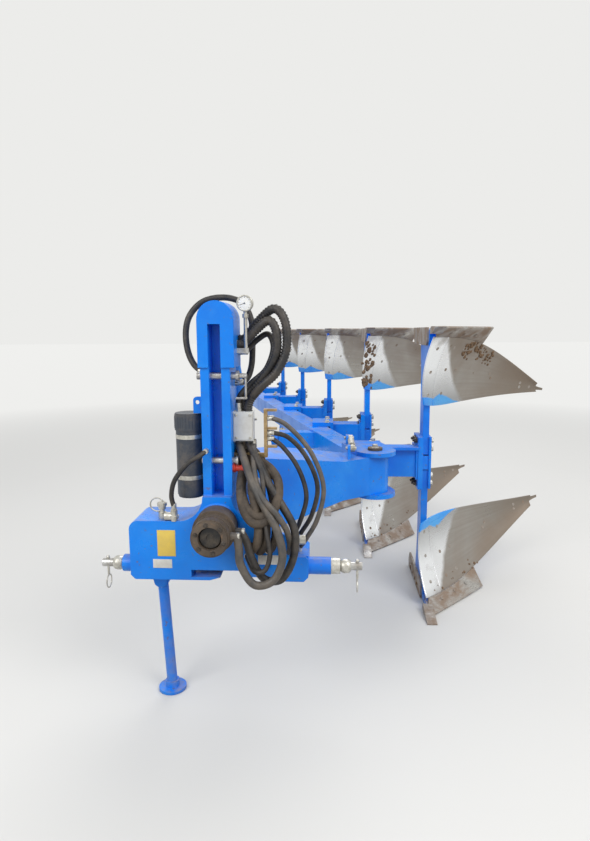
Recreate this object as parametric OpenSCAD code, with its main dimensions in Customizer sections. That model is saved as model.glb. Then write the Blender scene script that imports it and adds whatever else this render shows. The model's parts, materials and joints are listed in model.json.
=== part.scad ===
/* [Headstock] */
// Distance between the shoulders of the two lower link pins
link_span = 965; // [900:5:1010]
// How far the middle of the lower link shaft lies beside the turnover axis
link_offset = 46; // [30:1:60]
// Diameter of the lower link pins
link_pin_d = 36.6; // [28:0.1:38]
// Length of each lower link pin past its shoulder
link_pin_len = 97; // [80:1:110]
// Diameter of the lower link shaft between its shoulders
link_shaft_d = 56; // [48:1:60]
// Width of the headstock base across both lobes
base_w = 780; // [740:5:800]
// Depth of the headstock base from front to rear
base_d = 210; // [180:5:240]
// Height of the turnover axis above the lower link pins
axis_z = 200; // [190:1:215]
// Outer diameter of the turnover bearing housing
housing_d = 184; // [176:1:200]
// Diameter of the turnover axle
axle_d = 110; // [96:1:120]
// Running clearance on the diameter of a turning shaft
shaft_play = 0.4; // [0.3:0.05:0.5]
// Gap left between two pieces that are bolted together on a curved seat
seat_gap = 0.3; // [0.2:0.05:0.4]

/* [Tower] */
// Height of the tower top above the lower link pins
tower_top = 1150; // [1100:5:1180]
// Width across both cheeks of the tower
tower_w = 126; // [118:1:132]
// Width of the slot between the cheeks, for the top link ball
tower_slot = 52; // [50:1:56]
// Front to rear depth of the tower at its foot
tower_foot_d = 210; // [195:5:220]
// Front to rear depth of the tower under its cap
tower_head_d = 170; // [150:5:180]
// Width of the rounded cap on top of the tower
cap_w = 154; // [148:1:160]
// How far the middle of the cap lies to the right of the tower's middle
cap_shift = 6; // [2:1:6]
// Diameter of the top link pin
top_pin_d = 31.7; // [25:0.1:32]
// Height of the upper top link hole above the lower link pins
top_hole_z = 836; // [820:1:850]
// Height of the lower top link hole above the lower link pins
low_hole_z = 468; // [450:1:490]

/* [Stand] */
// Outer diameter of the stand leg
stand_d = 48; // [42:1:52]
// Distance of the stand hinge from the left end of the base
stand_inset = 105; // [95:1:115]
// Distance of the stand hinge behind the lower link shaft
stand_y = 64; // [60:1:70]
// Lean of the stand leg towards the middle
stand_lean = 3; // [2:0.5:4]
// Diameter of the round foot plate
foot_d = 127; // [110:1:140]

/* [Frame] */
// Distance of a share edge from the turnover axis plane
tip_h = 845; // [825:5:860]
// Number of body pairs
body_count = 5; // [2:1:5]
// Distance between two body pairs along the line of travel
body_pitch = 1000; // [950:10:1050]
// Sideways step from one body pair to the next
body_step = 300; // [280:5:320]
// Place of the first share point to the right of the turnover axis
first_x = 1050; // [1030:5:1070]
// Place of the first share point behind the lower link shaft
first_y = 780; // [760:5:800]
// Side of the square main beam
beam_side = 150; // [140:2:160]
// Distance of the beam middle from the landside plane of a body
beam_dx = 400; // [380:5:420]
// Height of the transverse arm that carries a body pair
arm_h = 176; // [160:2:190]
// Depth of the transverse arm along the line of travel
arm_d = 160; // [140:5:170]

/* [Bodies] */
// Thickness of the leg plate
leg_t = 40; // [35:1:44]
// Thickness of the outer clamp plate of a leg bracket
clamp_t = 14; // [12:1:18]
// Width of the leg plate below the bracket
leg_w = 120; // [110:2:130]
// Thickness of the mouldboard and of the shin
board_t = 9; // [8:0.5:11]
// Thickness of the share
share_t = 12; // [10:0.5:14]
// Thickness of the landside
landside_t = 12; // [10:0.5:14]
// Height of the landside
landside_h = 110; // [95:5:120]
// Width of the reversible point
point_w = 58; // [50:1:64]
// Diameter of the stay between a leg and its mouldboard
stay_d = 26; // [22:1:30]

/* [Depth wheel] */
// Diameter of the depth wheel tyre
wheel_d = 560; // [520:5:570]
// Width of the depth wheel tyre
wheel_w = 170; // [150:5:175]
// Length of the pendulum arm between its pin and the wheel axle
pendulum_len = 720; // [715:1:730]
// Angle of the pendulum arm below the beam when it hangs on its lower stop
pendulum_drop = 50; // [48:1:52]
// Place of the pendulum pin behind the lower link shaft
pendulum_y = 2000; // [1960:10:2040]

/* [Hidden] */
$fn = 48;

blue = [0.05, 0.42, 0.83];
steel = [0.72, 0.73, 0.74];
dark = [0.16, 0.16, 0.17];
rubber_black = [0.09, 0.09, 0.10];
zinc = [0.80, 0.80, 0.78];

// Rounds a small hole gets past both faces of its wall
cut_over = 1;
// Which half of a body pair is drawn: below the beam or mirrored above it
below = 0;
above = 1;

// Headstock places, from the turnover axis and the link shaft
housing_front = -70;
housing_back = 340;
base_front = -60;
base_back = base_front + base_d;
base_low = -52;
lobe_top = 214;
block_top = 60;
lobe_x = base_w / 2;
flange_y = housing_back + 16;
flange_t = 40;
flange_d = 300;
tower_foot_z = 322;
lobe_r = 40;
flare_r = tower_foot_z - lobe_top;
right_flare_r = 87;
stand_x = base_w / 2 - stand_inset;
front_wall = 24;
tower_head_z = tower_top - cap_w / 2;
tower_front = -30;
pin_in = 42;
cap_skirt = 200;

// Frame places
row_x = [for (k = [0 : body_count - 1]) first_x - k * body_step];
row_y = [for (k = [0 : body_count - 1]) first_y + k * body_pitch];
leg_y = 420;
beam_mid_y = leg_y + leg_w / 2;
beam_angle = atan2(body_step, body_pitch);
bracket_t = 30;
bracket_w = 200;
bracket_h = 2 * 165;
beam_front_y = 1010;
pivot_y = 930;
beam_rear_y = row_y[body_count - 1] + beam_mid_y + 130;
function beam_x(y) = first_x - beam_dx - (y - first_y - beam_mid_y) * body_step / body_pitch;
pivot_x = beam_x(pivot_y);
carrier_tip_h = 110;
fork_t = 24;

// Soil surface of one body: x away from the landside, y back from the point, z above the share edge
board_low = [[25, 160, 62], [290, 380, 64], [415, 650, 62], [905, 1010, 400]];
board_top = [[5, 330, 470], [150, 520, 520], [330, 740, 460], [915, 1050, 462]];
edge_line = [[0, 0, 0], [150, 150, 0], [300, 310, 0], [440, 470, 0]];
board_bulge = [75, 25];
shin_u = 0.14;
share_u = 0.52;

function lerp(a, b, t) = a + (b - a) * t;
function cubic(p, t) =
    p[0] * pow(1 - t, 3) + p[1] * 3 * t * pow(1 - t, 2) + p[2] * 3 * t * t * (1 - t) + p[3] * pow(t, 3);
function unit(v) = v / norm(v);
function flat(grid) = [for (row = grid) each row];

// Point of the mouldboard at u along it and v up it
function board(u, v) =
    let (low = cubic(board_low, u), top = cubic(board_top, u),
         push = lerp(board_bulge[0], board_bulge[1], u),
         mid = (low + top) / 2 + push * [-0.6, 0.8, 0])
    low * pow(1 - v, 2) + mid * 2 * v * (1 - v) + top * v * v;
function board_normal(u, v) =
    let (e = 0.01)
    unit(cross(board(u + e, v) - board(u - e, v), board(u, v + e) - board(u, v - e)));
// Grid of points at a depth behind the soil surface
function board_grid(us, vs, depth) =
    [for (u = us) [for (v = vs) board(u, v) - depth * board_normal(u, v)]];

// Faces of a curved slab between two grids of points of the same size
function slab_faces(nu, nv) =
    let (n = nu * nv)
    concat(
        [for (i = [0 : nu - 2], j = [0 : nv - 2])
            let (a = i * nv + j, b = a + 1, c = a + nv + 1, d = a + nv)
            each [[a, b, c], [a, c, d], [a + n, c + n, b + n], [a + n, d + n, c + n]]],
        [for (i = [0 : nu - 2])
            let (a = i * nv, d = a + nv, b = a + nv - 1, c = b + nv)
            each [[a, d, d + n], [a, d + n, a + n], [c, b, b + n], [c, b + n, c + n]]],
        [for (j = [0 : nv - 2])
            let (a = j, b = j + 1, d = (nu - 1) * nv + j, c = d + 1)
            each [[b, a, a + n], [b, a + n, b + n], [d, c, c + n], [d, c + n, d + n]]]);
module slab(front, back) {
    polyhedron(points = concat(flat(front), flat(back)),
        faces = slab_faces(len(front), len(front[0])), convexity = 6);
}

// Puts one piece on every body pair, below the beam or mirrored above it
module on_bodies(upper) {
    for (k = [0 : body_count - 1])
        translate([row_x[k], row_y[k], axis_z])
            mirror([0, 0, upper])
                translate([0, 0, -tip_h])
                    children();
}

module rod_x(d, x0, x1, y, z) {
    translate([x0, y, z]) rotate([0, 90, 0]) cylinder(d = d, h = x1 - x0);
}
module rod_y(d, x, y0, y1, z) {
    translate([x, y0, z]) rotate([-90, 0, 0]) cylinder(d = d, h = y1 - y0);
}
module rod_z(d, x, y, z0, z1) {
    translate([x, y, z0]) cylinder(d = d, h = z1 - z0);
}
module block(x0, x1, y0, y1, z0, z1) {
    translate([x0, y0, z0]) cube([x1 - x0, y1 - y0, z1 - z0]);
}
// Straight rod between two points
module rod_between(p, q, d) {
    v = q - p;
    translate(p)
        rotate([0, acos(v[2] / norm(v)), atan2(v[1], v[0])])
            cylinder(d = d, h = norm(v));
}
// Profile in y and z, made solid between two x
module side_plate(points, x0, x1) {
    translate([x0, 0, 0]) rotate([90, 0, 90]) linear_extrude(x1 - x0) polygon(points);
}
// Profile in x and z, made solid between two y
module front_plate(points, y0, y1) {
    translate([0, y1, 0]) rotate([90, 0, 0]) linear_extrude(y1 - y0) polygon(points);
}
function arc(cx, cy, r, a0, a1, n) =
    [for (i = [0 : n]) [cx + r * cos(lerp(a0, a1, i / n)), cy + r * sin(lerp(a0, a1, i / n))]];

// Round hose swept along a smooth line through its route's points
hose_sides = 8;
hose_fill = 3;
function spline_point(p, i, t) =
    let (n = len(p), a = p[max(i - 1, 0)], b = p[i], c = p[min(i + 1, n - 1)], d = p[min(i + 2, n - 1)])
    0.5 * (2 * b + (c - a) * t + (2 * a - 5 * b + 4 * c - d) * t * t + (3 * b - a - 3 * c + d) * t * t * t);
// The first and the last stretch stay straight, so that a hose meets its socket squarely
function smooth_route(p) =
    let (n = len(p))
    concat([p[0]], [for (i = [1 : n - 3], s = [0 : hose_fill - 1]) spline_point(p, i, s / hose_fill)], [p[n - 2], p[n - 1]]);
function route_dir(r, i) = unit(r[min(i + 1, len(r) - 1)] - r[max(i - 1, 0)]);
function carried(v, d) = unit(v - d * (v * d));
function side_vectors(r, i, prev) =
    i >= len(r) ? [] : let (s = carried(prev, route_dir(r, i))) concat([s], side_vectors(r, i + 1, s));
module hose(points, d, start_side) {
    r = smooth_route(points);
    s = side_vectors(r, 0, start_side);
    n = len(r);
    m = hose_sides;
    ring_points = [for (i = [0 : n - 1], k = [0 : m - 1])
        r[i] + d / 2 * (cos(360 * k / m) * s[i] + sin(360 * k / m) * cross(route_dir(r, i), s[i]))];
    side_faces = [for (i = [0 : n - 2], k = [0 : m - 1])
        let (a = i * m + k, b = i * m + (k + 1) % m)
        each [[a, a + m, b + m], [a, b + m, b]]];
    polyhedron(points = ring_points,
        faces = concat([[for (k = [0 : m - 1]) k]], [[for (k = [0 : m - 1]) n * m - 1 - k]], side_faces),
        convexity = 10);
}

// Tilt stop on the right: a short tube on a lug, with its screw
tilt_lug_x = 248;
tilt_lug_w = 60;
tilt_z = 132;
tilt_y = base_front + 20;
tilt_tube_d = 46;
tilt_tube_x = 352;
tilt_screw_d = 32;
tilt_bore = 40;
tilt_screw_out = 26;

// Ear under the left lobe that holds the pin of the stand leg
stand_hub_w = 48;
stand_pin_d = 24;
lug_t = 14;
stand_top = base_low - 46;
lug_profile = concat(arc(0, 0, 46, 180, 360, 16), [[46, 60], [-46, 60]]);
module stand_lug() {
    front_plate(concat([[-stand_x - 48, base_low + 10]], arc(-stand_x, stand_top, 30, 180, 360, 10), [[-stand_x + 48, base_low + 10]]),
        -lug_t / 2, lug_t / 2);
}

// Welded base across the lower link shaft, with its two lobes and the bearing housing
module headstock_base() {
    color(blue)
    difference() {
        union() {
            front_plate(concat(
                [[-lobe_x, base_low + 20]],
                arc(-lobe_x + lobe_r, lobe_top - lobe_r, lobe_r, 180, 90, 8),
                arc(-tower_w / 2 - flare_r, tower_foot_z, flare_r, -90, 0, 8),
                arc(tower_w / 2 + right_flare_r, tower_foot_z, right_flare_r, 180, 270, 8),
                [[tower_w / 2 + right_flare_r + 18, axis_z], [190, 120]],
                [[285, block_top], [lobe_x - 12, block_top], [lobe_x, block_top - 12], [lobe_x, base_low + 20], [lobe_x - 20, base_low]],
                [[250, base_low], [190, base_low + 18], [20, base_low + 18], [-40, base_low]],
                [[-lobe_x + 20, base_low]]), base_front, base_back);
            rod_y(housing_d, 0, housing_front, housing_back, axis_z);
            for (s = [-1, 1])
                side_plate(lug_profile, s * lobe_x + (s < 0 ? 0 : -105), s * lobe_x + (s < 0 ? 105 : 0));
            for (s = [-1, 1])
                translate([0, stand_y + s * (stand_hub_w / 2 + lug_t / 2 + seat_gap), 0])
                    stand_lug();
            rod_y(stand_pin_d, -stand_x, stand_y - stand_hub_w / 2 - 6, stand_y + stand_hub_w / 2 + 6, stand_top);
            front_plate(concat([[tilt_lug_x, block_top - 10]], arc(tilt_lug_x + tilt_lug_w / 2, tilt_z, tilt_lug_w / 2, 180, 0, 10),
                [[tilt_lug_x + tilt_lug_w, block_top - 10]]), base_front, base_front + front_wall);
            rod_x(tilt_tube_d, tilt_lug_x, tilt_tube_x, tilt_y, tilt_z);
        }
        rod_x(tilt_screw_d + shaft_play, tilt_tube_x - tilt_bore, tilt_tube_x + cut_over, tilt_y, tilt_z);
        rod_y(axle_d + shaft_play, 0, housing_front - cut_over, housing_back + cut_over, axis_z);
        rod_x(link_shaft_d + shaft_play, -lobe_x - 60, lobe_x + 60, 0, 0);
        block(-lobe_x + 115, -115, base_front + front_wall, base_back + cut_over, base_low + 30, lobe_top - 24);
        block(120, 230, base_front + front_wall, base_back + cut_over, base_low + 40, 86);
        block(-120, 120, base_front - cut_over, base_back + cut_over, -38, 46 + base_low);
    }
}

module tilt_screw() {
    color(zinc)
    union() {
        rod_x(tilt_screw_d, tilt_tube_x - tilt_bore + 2, tilt_tube_x + 2, tilt_y, tilt_z);
        rod_x(tilt_tube_d - 4, tilt_tube_x + seat_gap, tilt_tube_x + tilt_screw_out, tilt_y, tilt_z);
    }
}

// Two cheeks with their front flanges, drilled for both top link pins
function cheek_profile() = [
    [tower_front, tower_foot_z], [tower_front, tower_head_z],
    [tower_front + tower_head_d, tower_head_z], [tower_front + tower_head_d, 700],
    [tower_front + tower_foot_d, 430], [tower_front + tower_foot_d, tower_foot_z]];
tab_z = 712;
tab_h = 72;
tab_out = 40;
tab_r = 16;
tab_t = 10;
tab_y = 0;
tab_hole_d = 18;
module tower() {
    color(blue)
    difference() {
        union() {
            for (s = [-1, 1])
                side_plate(cheek_profile(), s > 0 ? tower_slot / 2 : -tower_w / 2, s > 0 ? tower_w / 2 : -tower_slot / 2);
            block(-tower_slot / 2, tower_slot / 2, tower_front + 90, tower_front + 150, tower_foot_z, tower_head_z);
            front_plate(concat([[-tower_w / 2 + 1, tab_z - tab_h / 2]], [[-tower_w / 2 - tab_out, tab_z - tab_h / 2]],
                arc(-tower_w / 2 - tab_out + tab_r, tab_z + tab_h / 2 - tab_r, tab_r, 180, 90, 6),
                [[-tower_w / 2 + 1, tab_z + tab_h / 2]]), tab_y, tab_y + tab_t);
        }
        rod_y(tab_hole_d, -tower_w / 2 - tab_out + tab_r + 2, tab_y - cut_over, tab_y + tab_t + cut_over, tab_z + 12);
        rod_x(top_pin_d + shaft_play, -tower_w, tower_w, tower_front + pin_in, top_hole_z);
        rod_x(top_pin_d + shaft_play, -tower_w, tower_w, tower_front + pin_in, low_hole_z);
        for (z = [560, 940])
            rod_x(60, -tower_w, tower_w, tower_front + 130, z);
    }
}

// Rounded cover over the tower head
cap_t = 8;
cap_slot_top = 20;
cap_left = cap_shift - cap_w / 2;
cap_right = cap_shift + cap_w / 2;
module tower_cap() {
    color(blue)
    difference() {
        front_plate(concat([[cap_left, tower_head_z - cap_skirt], [cap_left, tower_head_z]],
            arc(cap_shift, tower_head_z, cap_w / 2, 180, 0, 16), [[cap_right, tower_head_z - cap_skirt]]),
            tower_front - cap_t, tower_front + tower_head_d + cap_t);
        block(-tower_w / 2 - seat_gap, tower_w / 2 + seat_gap, tower_front - seat_gap,
            tower_front + tower_head_d + seat_gap, tower_head_z - cap_skirt - cut_over, tower_head_z + seat_gap);
        block(-tower_slot / 2, tower_slot / 2, tower_front - 20, tower_front + seat_gap,
            tower_head_z - cap_skirt - cut_over, tower_head_z - cap_slot_top);
    }
}

module lower_link_shaft() {
    x_mid = link_offset;
    color(steel) {
        rod_x(link_shaft_d, x_mid - link_span / 2, x_mid + link_span / 2, 0, 0);
        for (s = [-1, 1])
            difference() {
                rod_x(link_pin_d, x_mid + s * link_span / 2 + (s < 0 ? -link_pin_len : 0),
                    x_mid + s * link_span / 2 + (s < 0 ? 0 : link_pin_len), 0, 0);
                rod_z(12, x_mid + s * (link_span / 2 + link_pin_len - 22), 0, -40, 40);
            }
    }
}
// Rings that keep the base from sliding along the shaft, a longer pair on the right
collar_w = 40;
module shaft_ring(d, x0, x1) {
    difference() {
        rod_x(d, x0, x1, 0, 0);
        rod_x(link_shaft_d + shaft_play, x0 - cut_over, x1 + cut_over, 0, 0);
    }
}
module link_sleeves() {
    color(blue) {
        shaft_ring(76, link_offset - link_span / 2, -lobe_x - seat_gap);
        shaft_ring(76, lobe_x + seat_gap, link_offset + link_span / 2 - collar_w - seat_gap);
    }
}
module link_collar() {
    color(zinc) shaft_ring(70, link_offset + link_span / 2 - collar_w, link_offset + link_span / 2);
}
module linch_pins() {
    color(zinc)
    for (s = [-1, 1])
        translate([link_offset + s * (link_span / 2 + link_pin_len - 22), 0, 0]) {
            rod_z(11, 0, 0, -58, 26);
            difference() {
                translate([-3, 0, -88]) rotate([0, 90, 0]) cylinder(d = 66, h = 6);
                translate([-4, 0, -88]) rotate([0, 90, 0]) cylinder(d = 52, h = 8);
            }
        }
}
handle_d = 11;
handle_out = 60;
handle_drop = 96;
module top_link_pin() {
    color(steel) {
        rod_x(top_pin_d, -tower_w / 2 - 22, tower_w / 2 + 26, tower_front + pin_in, top_hole_z);
        rod_x(46, tower_w / 2 + 20, tower_w / 2 + 32, tower_front + pin_in, top_hole_z);
        rod_x(22, tower_w / 2 + 30, tower_w / 2 + handle_out + handle_d / 2, tower_front + pin_in, top_hole_z);
        rod_z(handle_d, tower_w / 2 + handle_out, tower_front + pin_in, top_hole_z - handle_drop, top_hole_z);
        rod_x(handle_d, tower_w / 2 + 16, tower_w / 2 + handle_out + handle_d / 2, tower_front + pin_in, top_hole_z - handle_drop);
    }
}
module spare_link_pin() {
    color(steel) {
        rod_x(top_pin_d, -tower_w / 2 - 9, tower_w / 2 + 20, tower_front + pin_in, low_hole_z);
        rod_x(44, tower_w / 2 + 14, tower_w / 2 + 24, tower_front + pin_in, low_hole_z);
    }
}

stand_floor = axis_z - tip_h;
module stand_leg() {
    leg = stand_top - stand_floor - 16;
    color(blue)
    union() {
        difference() {
            rod_y(70, -stand_x, stand_y - stand_hub_w / 2, stand_y + stand_hub_w / 2, stand_top);
            rod_y(stand_pin_d + shaft_play, -stand_x, stand_y - 30, stand_y + 30, stand_top);
        }
        translate([-stand_x, stand_y, stand_top])
            rotate([0, -stand_lean, 0])
                translate([0, 0, -leg / cos(stand_lean) + 4]) cylinder(d = stand_d, h = leg / cos(stand_lean) - 32);
        rod_z(foot_d, -stand_x + leg * tan(stand_lean), stand_y, stand_floor, stand_floor + 14);
        rod_z(64, -stand_x + leg * tan(stand_lean), stand_y, stand_floor + 14, stand_floor + 44);
    }
}

tube_x = -134;
tube_y = 46;
tube_d = 118;
tube_low = 302;
module document_tube() {
    color(dark)
    union() {
        rod_z(tube_d, tube_x, tube_y, tube_low + 10, 600);
        rod_z(tube_d - 8, tube_x, tube_y, tube_low, tube_low + 12);
        rod_z(tube_d + 8, tube_x, tube_y, 600, 669);
        rod_z(tube_d + 2, tube_x, tube_y, 668, 674);
        for (z = [380, 560])
            block(tube_x + 40, -tower_w / 2, tube_y - 20, tube_y + 20, z, z + 24);
    }
}
gauge_x = 122;
gauge_d = 68;
module pressure_gauge() {
    color(zinc) {
        rod_y(gauge_d, gauge_x, 30, 64, tower_top - 10);
        rod_z(16, gauge_x, 47, 940, tower_top - 42);
        rod_y(52, gauge_x, 63, 82, tower_top - 10);
        block(cap_right, gauge_x + 12, 38, 56, 930, 952);
        rod_z(26, gauge_x, 47, tower_top - 70, tower_top - 54);
    }
}
module junction_box() {
    color(zinc)
    union() {
        block(tower_w / 2, 150, 24, 80, box_low, box_top);
        block(tower_w / 2 + 4, 146, 20, 26, box_low + 5, box_top - 5);
    }
}
module hose_holder() {
    color([0.55, 0.45, 0.30])
    union() {
        block(tower_w / 2, 210, 40, 52, 478, 496);
        block(196, 210, 30, 62, 478, 690);
        for (z = [520, 600, 680])
            block(196, 252, 36, 56, z, z + 10);
    }
}
union_x = 79;
ring_front = -150;
union_front = -240;
union_bore = 96;
ring_x = housing_d / 2 - 1;
module rotary_union() {
    color([0.30, 0.27, 0.24])
    difference() {
        union() {
            rod_y(2 * ring_x, 0, ring_front, housing_front, axis_z);
            rod_y(2 * union_x, 0, union_front + 6, ring_front, axis_z);
            rod_y(2 * union_x - 12, 0, union_front, union_front + 8, axis_z);
        }
        rod_y(union_bore, 0, union_front - cut_over, union_front + 26, axis_z);
        difference() {
            rod_y(2 * union_x + 4, 0, union_front + 44, union_front + 54, axis_z);
            rod_y(2 * union_x - 8, 0, union_front + 40, union_front + 58, axis_z);
        }
    }
}

// Turning cylinder behind the tower, its rod's eye beside the flange of the axle
cyl_top = [0, 236, 1000];
cyl_eye = [118, 236, axis_z + 95];
module turnover_cylinder() {
    dir = unit(cyl_eye - cyl_top);
    color(blue)
    union() {
        rod_between(cyl_top + 30 * dir, cyl_top + 450 * dir, 92);
        rod_y(76, cyl_top[0], cyl_top[1] - 32, cyl_top[1] + 32, cyl_top[2]);
        block(-24, 24, tower_front + tower_head_d + cap_t + seat_gap, cyl_top[1] - 20, cyl_top[2] - 30, cyl_top[2] + 30);
    }
}
module cylinder_rod() {
    dir = unit(cyl_eye - cyl_top);
    color(steel)
    union() {
        rod_between(cyl_top + 450 * dir, cyl_eye - 30 * dir, 45);
        rod_y(84, cyl_eye[0], cyl_eye[1] - 26, cyl_eye[1] + 26, cyl_eye[2]);
    }
}

// Hose routes: each row is a diameter and the points it runs through
hose_d = 21;
big_hose_d = 26;
sleeve_d = 38;
box_low = 552;
box_top = 680;
cheek_x = tower_w / 2;
upper_routes = [
    [sleeve_d, [[cap_right, 100, 990], [cap_right + 26, 100, 990], [176, 90, 1070], [246, 60, 1118], [292, 40, 1060], [296, 30, 945],
        [254, 20, 850], [190, 22, 790], [140, 44, 735], [126, 52, box_top + 16], [126, 52, box_top]]],
    [big_hose_d, [[cap_right, 130, 935], [cap_right + 24, 130, 935], [160, 132, 985], [212, 116, 1010], [236, 92, 950], [205, 72, 860],
        [140, 62, 800], [92, 52, 745], [84, 52, box_top + 16], [84, 52, box_top]]],
    [hose_d, [[-cheek_x, 112, 850], [-cheek_x - 22, 112, 850], [-122, 120, 880], [-150, 132, 940], [-160, 148, 1020], [-146, 164, 1090],
        [-100, 178, 1146], [-40, 186, 1170], [36, 186, 1170], [96, 180, 1142], [128, 178, 1080], [134, 178, 1010], [134, 174, 940],
        [132, 158, 880], [122, 134, 832], [104, 116, 806], [cheek_x + 22, 110, 800], [cheek_x, 110, 800]]]];
middle_routes = [
    [big_hose_d, [[84, 52, box_low], [84, 52, box_low - 20], [116, -14, 474], [152, -80, 404], [205, -130, 315], [264, -160, 215],
        [288, -175, 100], [250, -188, 8], [172, -198, -6], [118, -200, 80], [112, -198, 150],
        [union_x + 22, -198, axis_z], [union_x + seat_gap, -198, axis_z]]],
    [big_hose_d, [[128, 52, box_low], [128, 52, box_low - 20], [172, -10, 474], [218, -60, 395], [278, -90, 305], [334, -110, 200],
        [330, -125, 84], [280, -135, -8], [206, -140, -4], [158, -142, 80], [138, -142, 150],
        [ring_x + 20, -142, axis_z], [ring_x + seat_gap, -142, axis_z]]],
    [sleeve_d, [[cheek_x, 120, 456], [cheek_x + 24, 120, 456], [122, 84, 450], [146, 10, 432], [164, -52, 380], [196, -84, 300], [214, -104, 220],
        [214, -114, 150], [194, -106, 108], [180, -84, 96], [180, base_front, 96]]]];
holder_x = 210;
lower_routes = [
    [hose_d, [[holder_x, 46, 650], [holder_x + 18, 46, 650], [300, 20, 620], [400, 0, 510], [455, -10, 360], [430, -10, 220],
        [378, 0, 120], [350, 14, block_top + 16], [350, 14, block_top]]],
    [hose_d, [[holder_x, 46, 560], [holder_x + 18, 46, 560], [280, 40, 520], [345, 30, 430], [380, 20, 310], [350, 20, 190],
        [310, 30, 110], [300, 36, block_top + 16], [300, 36, block_top]]],
    [hose_d, [[holder_x, 46, 585], [holder_x + 18, 46, 585], [300, 52, 564], [378, 44, 480], [428, 42, 350], [404, 46, 220],
        [354, 54, 130], [327, 62, block_top + 16], [327, 62, block_top]]]];
coupler_d = 30;
coupler_top = lobe_top + 48;
side_route = [[hose_d, [[-45, tower_front, 520], [-45, tower_front - 16, 520], [-66, -70, 505], [-120, -84, 470],
    [-175, -76, 400], [-196, -60, 330], [-190, -50, coupler_top + 14], [-190, -50, coupler_top]]]];
module hose_set(routes) {
    color(rubber_black)
    for (row = routes)
        hose(row[1], row[0], [0.02, 1, 0.01]);
}
module upper_hoses() { hose_set(upper_routes); }
module middle_hoses() { hose_set(middle_routes); }
module lower_hoses() { hose_set(lower_routes); }
module side_hose() { hose_set(side_route); }
module hose_couplers() {
    color(zinc)
    union() {
        rod_z(coupler_d, -190, -50, lobe_top, coupler_top);
        rod_z(coupler_d + 10, -190, -50, lobe_top + 10, lobe_top + 24);
        rod_z(coupler_d + 4, -250, -20, lobe_top, lobe_top + 30);
        rod_z(coupler_d - 8, -250, -20, lobe_top + 28, lobe_top + 44);
        translate([-190, -50, lobe_top + 4]) rotate([0, 0, atan2(30, -60)]) translate([0, -6, -4]) cube([norm([60, 30]), 12, 8]);
    }
}

// Turnover axle in its housing, with the flange that carries the carrier
module turnover_axle() {
    color(steel)
    union() {
        rod_y(axle_d, 0, housing_front, flange_y, axis_z);
        rod_y(flange_d, 0, flange_y, flange_y + flange_t, axis_z);
    }
}

// Tapered box from the axle flange out to the frame pin
carrier_left = 140;
carrier_right = 150;
carrier_h = 190;
neck_x = pivot_x - 189;
nose_r = 78;
pivot_pin_d = 60;
spindle_pin_d = 20;
spindle_lug_t = 16;
spindle_x = pivot_x - 149;
spindle_front_y = pivot_y - 125;
spindle_rear_y = pivot_y + 206;
spindle_z = axis_z + carrier_tip_h + 56;
module spindle_lug(y, foot_z) {
    difference() {
        side_plate(concat([[y - 34, foot_z]], arc(y, spindle_z, 22, 180, 0, 10), [[y + 34, foot_z]]),
            spindle_x - spindle_lug_t, spindle_x);
        rod_x(spindle_pin_d + shaft_play, spindle_x - 60, spindle_x + 60, y, spindle_z);
    }
}
module carrier() {
    y0 = flange_y + flange_t;
    color(blue)
    difference() {
        union() {
            intersection() {
                translate([0, 0, axis_z - 200]) linear_extrude(400)
                    polygon(concat([[-carrier_left, y0], [carrier_right, y0], [pivot_x - 40, pivot_y - 110]],
                        arc(pivot_x, pivot_y, nose_r, -60, 120, 12), [[pivot_x - 130, pivot_y + 60], [-carrier_left, y0 + 170]]));
                front_plate([[-carrier_left, axis_z - carrier_h + 40], [-carrier_left + 50, axis_z - carrier_h],
                    [carrier_right + 20, axis_z - carrier_h], [neck_x, axis_z - carrier_tip_h],
                    [pivot_x + 120, axis_z - carrier_tip_h], [pivot_x + 120, axis_z + carrier_tip_h],
                    [neck_x, axis_z + carrier_tip_h], [carrier_right + 20, axis_z + carrier_h],
                    [-carrier_left + 50, axis_z + carrier_h], [-carrier_left, axis_z + carrier_h - 40]], y0 - 50, pivot_y + 200);
            }
            spindle_lug(spindle_front_y, axis_z + carrier_tip_h - 10);
        }
        rod_z(pivot_pin_d + shaft_play, pivot_x, pivot_y, axis_z - 200, axis_z + 200);
    }
}
// Turnbuckle that sets the angle of the frame, between a lug of the carrier and one of the fork
module width_spindle() {
    color(zinc)
    union() {
        for (y = [spindle_front_y, spindle_rear_y]) {
            rod_x(40, spindle_x + seat_gap, spindle_x + 26, y, spindle_z);
            rod_x(spindle_pin_d, spindle_x - spindle_lug_t - 10, spindle_x + 34, y, spindle_z);
        }
        rod_y(22, spindle_x + 13, spindle_front_y + 12, spindle_rear_y - 12, spindle_z);
        rod_y(38, spindle_x + 13, spindle_front_y + 80, spindle_rear_y - 80, spindle_z);
    }
}
module frame_pin() {
    color(steel)
    union() {
        rod_z(pivot_pin_d, pivot_x, pivot_y, axis_z - carrier_tip_h - fork_t, axis_z + carrier_tip_h + fork_t);
        for (s = [-1, 1])
            rod_z(86, pivot_x, pivot_y, axis_z + s * (carrier_tip_h + fork_t) - (s < 0 ? 14 : 0),
                axis_z + s * (carrier_tip_h + fork_t) + (s < 0 ? 0 : 14));
    }
}

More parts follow.
